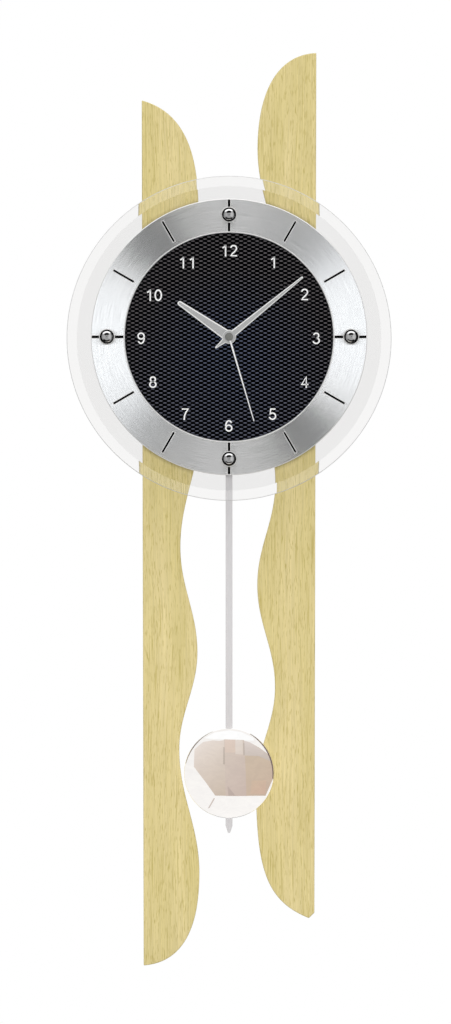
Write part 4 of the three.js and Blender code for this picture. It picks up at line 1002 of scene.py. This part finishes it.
def add_stud(hour):
    stud = stud_places[hour]
    ball_depth = stud.front - BALL_RADIUS
    glass_front = Extent("glass_disc").front
    foot_back, foot_front, seat = [glass_front + depth for depth in BALL_FOOT]
    seat_angle = math.degrees(math.asin((seat - ball_depth) / BALL_RADIUS))
    profile = [
        (0, stud.back),
        (STUD_RADIUS - STUD_EASE, stud.back),
        (STUD_RADIUS, stud.back + STUD_EASE),
        (STUD_RADIUS, foot_back),
        (BALL_FOOT_RADIUS, foot_back),
        (BALL_FOOT_RADIUS, foot_front),
        *arc(BALL_RADIUS, 0, ball_depth, seat_angle, 90, 32)[:-1],
        (0, stud.front),
    ]
    mesh = turned(profile, STUD_FACETS, stud.x, stud.y)
    node = f"ball_stud_{hour}"
    add_piece(node + "_plated", mesh, "polished_chrome", node, finish=ball_plating_and_painted_reflection)


def add_spacer(hour):
    node = f"glass_spacer_{hour}"
    spacer = Extent(node)
    profile = tube(STUD_HOLE_RADIUS, spacer.radius, spacer.back, spacer.front, SPACER_EASE)
    mesh = turned(profile, STUD_FACETS, spacer.x, spacer.y)
    add_piece(node + "_turned", mesh, "white_plastic", node)


add_glass()
for stud_hour in stud_places:
    add_stud(stud_hour)
    add_spacer(stud_hour)


# Hands
def blade_outline(hand, inset):
    """The outline of a hand that points up, drawn in by an inset."""

    def half(width):
        return max(width / 2 - inset, width / 8)

    length = hand["length"]
    right = [(half(hand["tail_width"]), inset - hand["tail"]), (half(hand["hub_width"]), 0)]
    if hand["round_tip"]:
        radius = hand["tip_width"] / 2
        right += arc(half(hand["tip_width"]), 0, length - radius, 0, 90, 8)[:-1]
        return right + [(0, length - inset)] + [(-x, y) for x, y in reversed(right)]
    right.append((half(hand["tip_width"]), length - inset))
    return right + [(-x, y) for x, y in reversed(right)]


def blade(hand, back, thickness):
    levels = [(0, back), (0, back + thickness * HAND_EDGE), (hand["bevel"], back + thickness)]
    return lofted([[(x, y, depth) for x, y in blade_outline(hand, inset)] for inset, depth in levels])


def add_hand(name, hand, body):
    boss_radius, collet = hand["boss"]
    boss_back = Extent(name).back
    back = boss_back + collet
    front = back + HAND_THICKNESS
    boss = turned(tube(0, boss_radius, boss_back, front, BOSS_EASE), BOSS_FACETS)
    mesh = combined(blade(hand, back, HAND_THICKNESS), "UNION", [boss])
    bore = cylinder(hand["bore"] + ARBOR_GAP, back - 3 * BEYOND, front + BEYOND)
    mesh = rotated(combined(mesh, "DIFFERENCE", [bore]), hand["angle"])
    piece = add_piece(name + "_brushed", mesh, "hand_metal", name, body=body, finish=hand_satin)
    # The bevels are polished, and painted near white as a highlight along the hand's edges.
    least, most = BEVEL_FACING
    refinish(piece, hand_bevel_painted_highlight, lambda face: least < -face.normal.y < most)


def add_second_hand():
    place = Extent("second_hand")
    cap_profile = [
        (0, place.back),
        (HUB_CAP_RADIUS, place.back),
        (HUB_CAP_RADIUS, place.front - HUB_CAP_EASE),
        *arc(HUB_CAP_EASE, HUB_CAP_RADIUS - HUB_CAP_EASE, place.front - HUB_CAP_EASE, 0, 90, 5)[1:],
        (0, place.front),
    ]
    cap = turned(cap_profile, HUB_CAP_FACETS)
    mesh = combined(blade(SECOND_HAND, place.back, SECOND_HAND_THICKNESS), "UNION", [cap])
    bore_radius, bore_floor = SECOND_BORE
    bore_end = place.back + SECOND_HAND_THICKNESS + bore_floor
    mesh = combined(mesh, "DIFFERENCE", [cylinder(bore_radius, place.back - BEYOND, bore_end)])
    mesh = rotated(mesh, SECOND_HAND["angle"])
    name = "second_hand_polished"
    piece = add_piece(name, mesh, "hand_metal", "second_hand", body="second_body", finish=second_satin)
    refinish(piece, cap_satin, lambda face: max(reaches(piece, face)) < HUB_CAP_RADIUS * WITHIN)


add_hand("hour_hand", HOUR_HAND, "hour_body")
add_hand("minute_hand", MINUTE_HAND, "minute_body")
add_second_hand()


# Pendulum
bob = Extent("pendulum_bob")
bob_sphere = (BOB_RADIUS**2 + BOB_HEIGHT**2) / (2 * BOB_HEIGHT)


def add_bob():
    centre = bob.front - bob_sphere
    slope = math.degrees(math.asin((BOB_RADIUS - BOB_EDGE) / bob_sphere))
    inner = bob_sphere - BOB_WALL
    inner_slope = math.degrees(math.acos((bob.back + BOB_FLANGE - centre) / inner))
    profile = [
        (0, centre + inner),
        *arc(inner, 0, centre, 90, 90 - inner_slope, 12)[1:],
        (inner * math.sin(math.radians(inner_slope)), bob.back),
        (BOB_RADIUS - BOB_BACK_EASE, bob.back),
        (BOB_RADIUS, bob.back + BOB_BACK_EASE),
        (BOB_RADIUS, bob.back + BOB_RIM - BOB_EDGE),
        *arc(bob_sphere, 0, centre, 90 - slope, 90, 40)[:-1],
        (0, bob.front),
    ]
    mesh = turned(profile, BOB_FACETS, bob.x, bob.y)
    add_piece("pendulum_bob_plated", mesh, "polished_chrome", "pendulum_bob", body="pendulum_body")


def add_rod():
    rod = Extent("pendulum_rod")
    half, half_tip = rod.radius, ROD_TIP_WIDTH / 2
    outline = [
        (-half, rod.top),
        (-half, rod.bottom + ROD_POINT),
        (-half_tip, rod.bottom),
        (half_tip, rod.bottom),
        (half, rod.bottom + ROD_POINT),
        (half, rod.top),
    ]
    mesh = softened(prism(outline, rod.back, rod.front), ROD_EASE, segments=2, angle=30)
    eye = cylinder(ROD_EYE[0], rod.back - BEYOND, rod.front + BEYOND, 0, rod.top - ROD_EYE[1])
    mesh = combined(mesh, "DIFFERENCE", [eye])
    name = "pendulum_rod_brushed"
    add_piece(name, mesh, "hand_metal", "pendulum_rod", body="pendulum_body", finish=rod_satin)


add_bob()
add_rod()


# Floor, light and camera
FLOOR_Z = -0.75
FLOOR_RADIUS = 2.5
FLOOR_FACETS = 96


def add_floor():
    bm = bmesh.new()
    bmesh.ops.create_circle(bm, cap_ends=True, segments=FLOOR_FACETS, radius=FLOOR_RADIUS)
    floor = linked("floor", mesh_from(bm, "floor"))
    floor.location.z = FLOOR_Z
    paper = Finish("pale_floor", Roughness=0.9, Specular_IOR_Level=0.1)
    faint = paper.noise(6.0, detail=1.0)
    paper.paint(paper.tones(faint, seen(241, 240, 238), seen(244, 243, 241)))
    floor.data.materials.append(paper.material)
    floor.visible_glossy = False
    floor.visible_diffuse = False


# What the ring and all else behind the glass mirror, by the clock angle of the direction, which
# repeats each half turn
STUDIO = [
    (0, (179, 179, 179)), (12, (173, 173, 173)), (22, (144, 144, 144)), (33, (136, 136, 135)),
    (43, (128, 129, 130)), (52, (200, 202, 204)), (62, (246, 249, 252)), (75, (250, 253, 255)),
    (105, (249, 252, 255)), (118, (242, 243, 244)), (127, (184, 185, 184)), (131, (56, 58, 54)),
    (135, (4, 6, 2)), (149, (4, 5, 2)), (155, (125, 126, 124)), (161, (163, 163, 162)),
    (168, (175, 175, 174)), (180, (179, 179, 179)),
]
STUDIO_GAIN = 1.43
# What they mirror instead when they are seen from the side, and how nearly a direction points at
# the viewer, from -1 to 1, where that ends
ASLANT = (0.62, 0.63, 0.64, 1)
ASLANT_END = (0.92, 0.95)
# What all other polished metal mirrors: greys from behind the clock (0) to the viewer (1), first all
# round, then above, below and at the right, which start or end as told from 0 to 1
AROUND = [(0.05, 0.8), (0.08, 0.01), (0.42, 0.01), (0.5, 0.3), (0.75, 0.42), (0.9, 0.46)]
ABOVE = [(0.05, 0.8), (0.15, 1.3), (0.68, 1.3), (0.72, 0.0), (0.92, 0.0), (0.95, 0.3)]
BELOW = [(0.05, 0.8), (0.08, 0.01), (0.72, 0.0), (0.79, 0.35), (0.9, 0.4)]
RIGHT = [(0.05, 0.8), (0.09, 0.9), (0.28, 0.9), (0.31, 0.0), (0.5, 0.0), (0.62, 0.5), (0.9, 0.6)]
ABOVE_START = (0.76, 0.86)
BELOW_END = (0.14, 0.24)
RIGHT_START = (0.8, 0.9)
BRIGHT_FRONT = (1.5, 1.5, 1.5, 1)  # near the viewer, told as for ASLANT
BRIGHT_START = (0.92, 0.94)
BRIGHT_END = (0.98, 0.995)
# What lights matt surfaces: greys in the same order, and a wide lamp from the viewer's side
SOFT_LIGHT = [(0.3, 0.98), (0.48, 0.45), (0.56, 0.15), (0.9, 0.06)]
OVERHEAD_LIGHT = 1.0
OVERHEAD_START = (0.55, 0.85)  # how nearly a direction points up
LAMP_STRENGTH = 2.5
LAMP_ANGLE = 12
LAMP_TURN = (90, 0, 0)
BACKDROP = (1, 1, 1, 1)
# Painted shadow: the backdrop seen through the glass is a little grey, as if the clock shaded it.
BACKDROP_THROUGH_GLASS = (0.91, 0.905, 0.9, 1)
# A view of what lies behind the glass passes four faces of it on the way there and back. It has the
# ring's studio in front of the clock, which starts as told from 0 to 1.
FEWER_FACES = 2.5
FRONT_START = (0.45, 0.6)


def ring_studio(sky, x, z, towards_viewer):
    """What is mirrored behind the glass."""
    turn = sky.math("DIVIDE", sky.math("ARCTAN2", x, z), math.pi)
    half_turn = sky.math("FRACT", sky.math("ADD", turn, 2.0))
    panels = sky.ramp(half_turn, [(angle / 180, seen(*colour)) for angle, colour in STUDIO])
    bright = sky.add("VectorMath", {0: panels, "Scale": STUDIO_GAIN}, operation="SCALE").outputs[0]
    return sky.mix(sky.between(towards_viewer, *ASLANT_END, 1.0, 0.0), bright, ASLANT)


def room(sky, x, z, towards_viewer, forward):
    """What all other polished metal mirrors."""
    aside = sky.math("SQRT", sky.math("ADD", sky.math("MULTIPLY", x, x), sky.math("MULTIPLY", z, z)))
    aside = sky.math("MAXIMUM", aside, 1e-6)
    upward, rightward = (
        sky.math("MULTIPLY_ADD", sky.math("DIVIDE", part, aside), 0.5, 0.5) for part in (z, x)
    )
    view = sky.ramp(forward, AROUND)
    view = sky.mix(sky.between(upward, *ABOVE_START), view, sky.ramp(forward, ABOVE))
    view = sky.mix(sky.between(upward, *BELOW_END, 1.0, 0.0), view, sky.ramp(forward, BELOW))
    view = sky.mix(sky.between(rightward, *RIGHT_START), view, sky.ramp(forward, RIGHT))
    view = sky.mix(sky.between(towards_viewer, *BRIGHT_START), view, BRIGHT_FRONT)
    return sky.mix(1.0, view, sky.between(towards_viewer, *BRIGHT_END, 1.0, 0.0), "MULTIPLY")


def light_world():
    """White for what is seen, soft light for what is matt, and a studio for what mirrors it."""
    world = bpy.data.worlds.new("studio")
    bpy.context.scene.world = world
    world.use_nodes = True
    world.cycles.sampling_method = "NONE"
    sky = Nodes(world.node_tree)
    x, y, z = sky.axes(sky.add("TexCoord").outputs["Generated"])
    towards_viewer = sky.math("MULTIPLY", y, -1.0)
    forward = sky.math("MULTIPLY_ADD", towards_viewer, 0.5, 0.5)
    overhead = sky.between(z, *OVERHEAD_START, high=OVERHEAD_LIGHT)
    lit = sky.mix(1.0, sky.ramp(forward, SOFT_LIGHT), overhead, "ADD")
    path = sky.add("LightPath")

    def deeper(kind, depth):
        return sky.math("GREATER_THAN", path.outputs[kind + " Depth"], depth)

    backdrop = sky.mix(deeper("Transmission", 0.5), BACKDROP, BACKDROP_THROUGH_GLASS)
    plain_view = sky.mix(deeper("Diffuse", 0.5), backdrop, lit)
    in_front = sky.between(forward, *FRONT_START)
    behind_glass = sky.math("MULTIPLY", deeper("Transmission", FEWER_FACES), in_front)
    mirrors = room(sky, x, z, towards_viewer, forward), ring_studio(sky, x, z, towards_viewer)
    reflected = sky.mix(behind_glass, *mirrors)
    background = world.node_tree.nodes["Background"]
    sky.put(background.inputs["Color"], sky.mix(deeper("Glossy", 0.5), plain_view, reflected))


# Panels in front of the bob: their corners where they show on its face, in millimetres from its
# centre, and the colours of their lower and upper edge
PANELS = {
    "surround": ([polar(37, 180 - 10 * k) for k in range(36)], (250, 247, 244), (244, 241, 237)),
    "top_white": (
        [(-15, 27.5), (-5, 27), (9, 26.5), (20, 26), (20, 28), (10, 33), (0, 34.4), (-12, 32.5), (-20, 28)],
        (254, 254, 253), (255, 255, 254),
    ),
    "left": (
        [(-28, 19), (-21, 25), (-13, 26.3), (-8, 25.8), (-3, 26.6)]
        + [(-2, -18), (-11, -18), (-18, -8), (-28.4, 5)],
        (202, 186, 170), (236, 226, 218),
    ),
    "middle": ([(-4, 27), (12, 26.5), (14, -18.4), (-2.6, -18.2)], (200, 182, 172), (215, 202, 190)),
    "right": (
        [(12, 26), (18, 24), (25, 20), (33, 14), (36.6, 3), (35, -6), (29.5, -18.6), (13.8, -18.3)],
        (199, 176, 158), (206, 190, 170),
    ),
    "right_upper": (
        [(12.2, 26), (17, 24.6), (26, 19), (31, 15), (34.5, 9), (24, 13.5), (12.2, 13.8)],
        (196, 184, 174), (222, 211, 205),
    ),
    "peach": (rectangle(-3.4, 5, 26.8, 16), (216, 198, 184), (224, 206, 194)),
    "light_strip": ([(5, 26.6), (11, 26.2), (11, 14.6), (5, 14.8)], (218, 205, 194), (228, 218, 209)),
    "glow": ([(18, -6), (30, -6), (29, -17), (17, -17)], (208, 178, 160), (206, 184, 162)),
    "shade": ([(-4.6, 20.6), (-3.4, 20.6), (-3.2, 6.7), (-4.6, 6.7)], (186, 174, 162), (200, 188, 177)),
    "right_shade": (rectangle(11.4, 12.4, 24, 14), (186, 174, 164), (196, 184, 175)),
    "wedge": ([(-1.2, -10), (5.2, -18), (-0.6, -18)], (184, 168, 160), (194, 178, 169)),
    "upper_right_rim": (
        [polar(35.4 - 0.5 * math.sin(math.pi * k / 14), 62 - 5 * k) for k in range(15)]
        + [polar(36.5, -8 + 5 * k) for k in range(15)],
        (104, 88, 86), (140, 128, 126),
    ),
    "upper_left_rim": (
        [polar(35.5 - 0.3 * math.sin(math.pi * k / 10), 168 - 5 * k) for k in range(11)]
        + [polar(36.5, 118 + 5 * k) for k in range(11)],
        (150, 140, 136), (120, 110, 108),
    ),
    "seam": ([(-12.2, -20), (-11.2, -20.4), (-15.8, -28.4), (-17.2, -29)], (200, 188, 180), (210, 198, 190)),
}
PANEL_DISTANCE = 60
PANEL_STEP = 0.3  # each stands this much nearer to the bob than the one before
PANEL_LIMIT = BOB_RADIUS + 3  # where the bob's slope is taken at most
PANEL_EDGE_STEPS = 8
PANEL_GAIN = 1.08


def thrown(x, y, distance):
    """Where a card shows at a place on the bob's face, as seen from straight in front."""
    reach = math.hypot(x, y) or 1e-6
    spread = reach + distance * math.tan(2 * math.asin(min(reach, PANEL_LIMIT) / bob_sphere))
    return in_world(bob.x + x * spread / reach, bob.y + y * spread / reach, bob.front + distance)


def panel_mesh(name, corners, distance):
    bm = bmesh.new()
    outline = []
    for (x, y), (next_x, next_y) in zip(corners, corners[1:] + corners[:1]):
        for k in range(PANEL_EDGE_STEPS):
            share = k / PANEL_EDGE_STEPS
            point = thrown(x + (next_x - x) * share, y + (next_y - y) * share, distance)
            outline.append(bm.verts.new(point))
    bmesh.ops.triangulate(bm, faces=[bm.faces.new(outline)])
    return mesh_from(bm, name)


def panel_glow(name, low_colour, high_colour):
    glow = Finish(name, Base_Color=(0, 0, 0, 1), Specular_IOR_Level=0.0)
    across, depth, up = glow.axes(glow.add("TexCoord").outputs["Generated"])
    height = glow.math("MULTIPLY_ADD", up, 0.7, glow.math("MULTIPLY_ADD", across, -0.3, 0.3))
    glow.set("Emission Color", glow.between(height, 0.0, 1.0, seen(*low_colour), seen(*high_colour)))
    glow.set("Emission Strength", PANEL_GAIN)
    glow.material.cycles.emission_sampling = "NONE"
    return glow.material


def add_panels():
    """Glowing cards that only mirrors see."""
    for order, (key, (corners, low_colour, high_colour)) in enumerate(PANELS.items()):
        name = "panel_" + key
        card = linked(name, panel_mesh(name, corners, PANEL_DISTANCE - PANEL_STEP * order))
        card.data.materials.append(panel_glow(name, low_colour, high_colour))
        for kind in ("camera", "diffuse", "transmission", "volume_scatter", "shadow"):
            setattr(card, "visible_" + kind, False)


CAMERA_X = -0.00274
CAMERA_Z = -0.2049
CAMERA_DISTANCE = 16.0
PIXEL = 0.000772  # metres of the boards' front in one pixel
FRAME_HEIGHT = 1024 * PIXEL
SENSOR = 36


def add_camera():
    data = bpy.data.cameras.new("camera")
    data.sensor_width = SENSOR
    data.lens = SENSOR * (CAMERA_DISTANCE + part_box("left_board")[0].y) / FRAME_HEIGHT
    camera = linked("camera", data)
    camera.location = (CAMERA_X, -CAMERA_DISTANCE, CAMERA_Z)
    camera.rotation_euler = (math.radians(90), 0, 0)
    bpy.context.scene.camera = camera


def add_lamp():
    data = bpy.data.lights.new("wide_lamp", "SUN")
    data.energy = LAMP_STRENGTH
    data.angle = math.radians(LAMP_ANGLE)
    lamp = linked("wide_lamp", data)
    lamp.rotation_euler = [math.radians(turn) for turn in LAMP_TURN]
    lamp.visible_glossy = False
    lamp.visible_transmission = False


add_floor()
light_world()
add_lamp()
add_panels()
add_camera()
bpy.context.scene.view_settings.view_transform = "Standard"
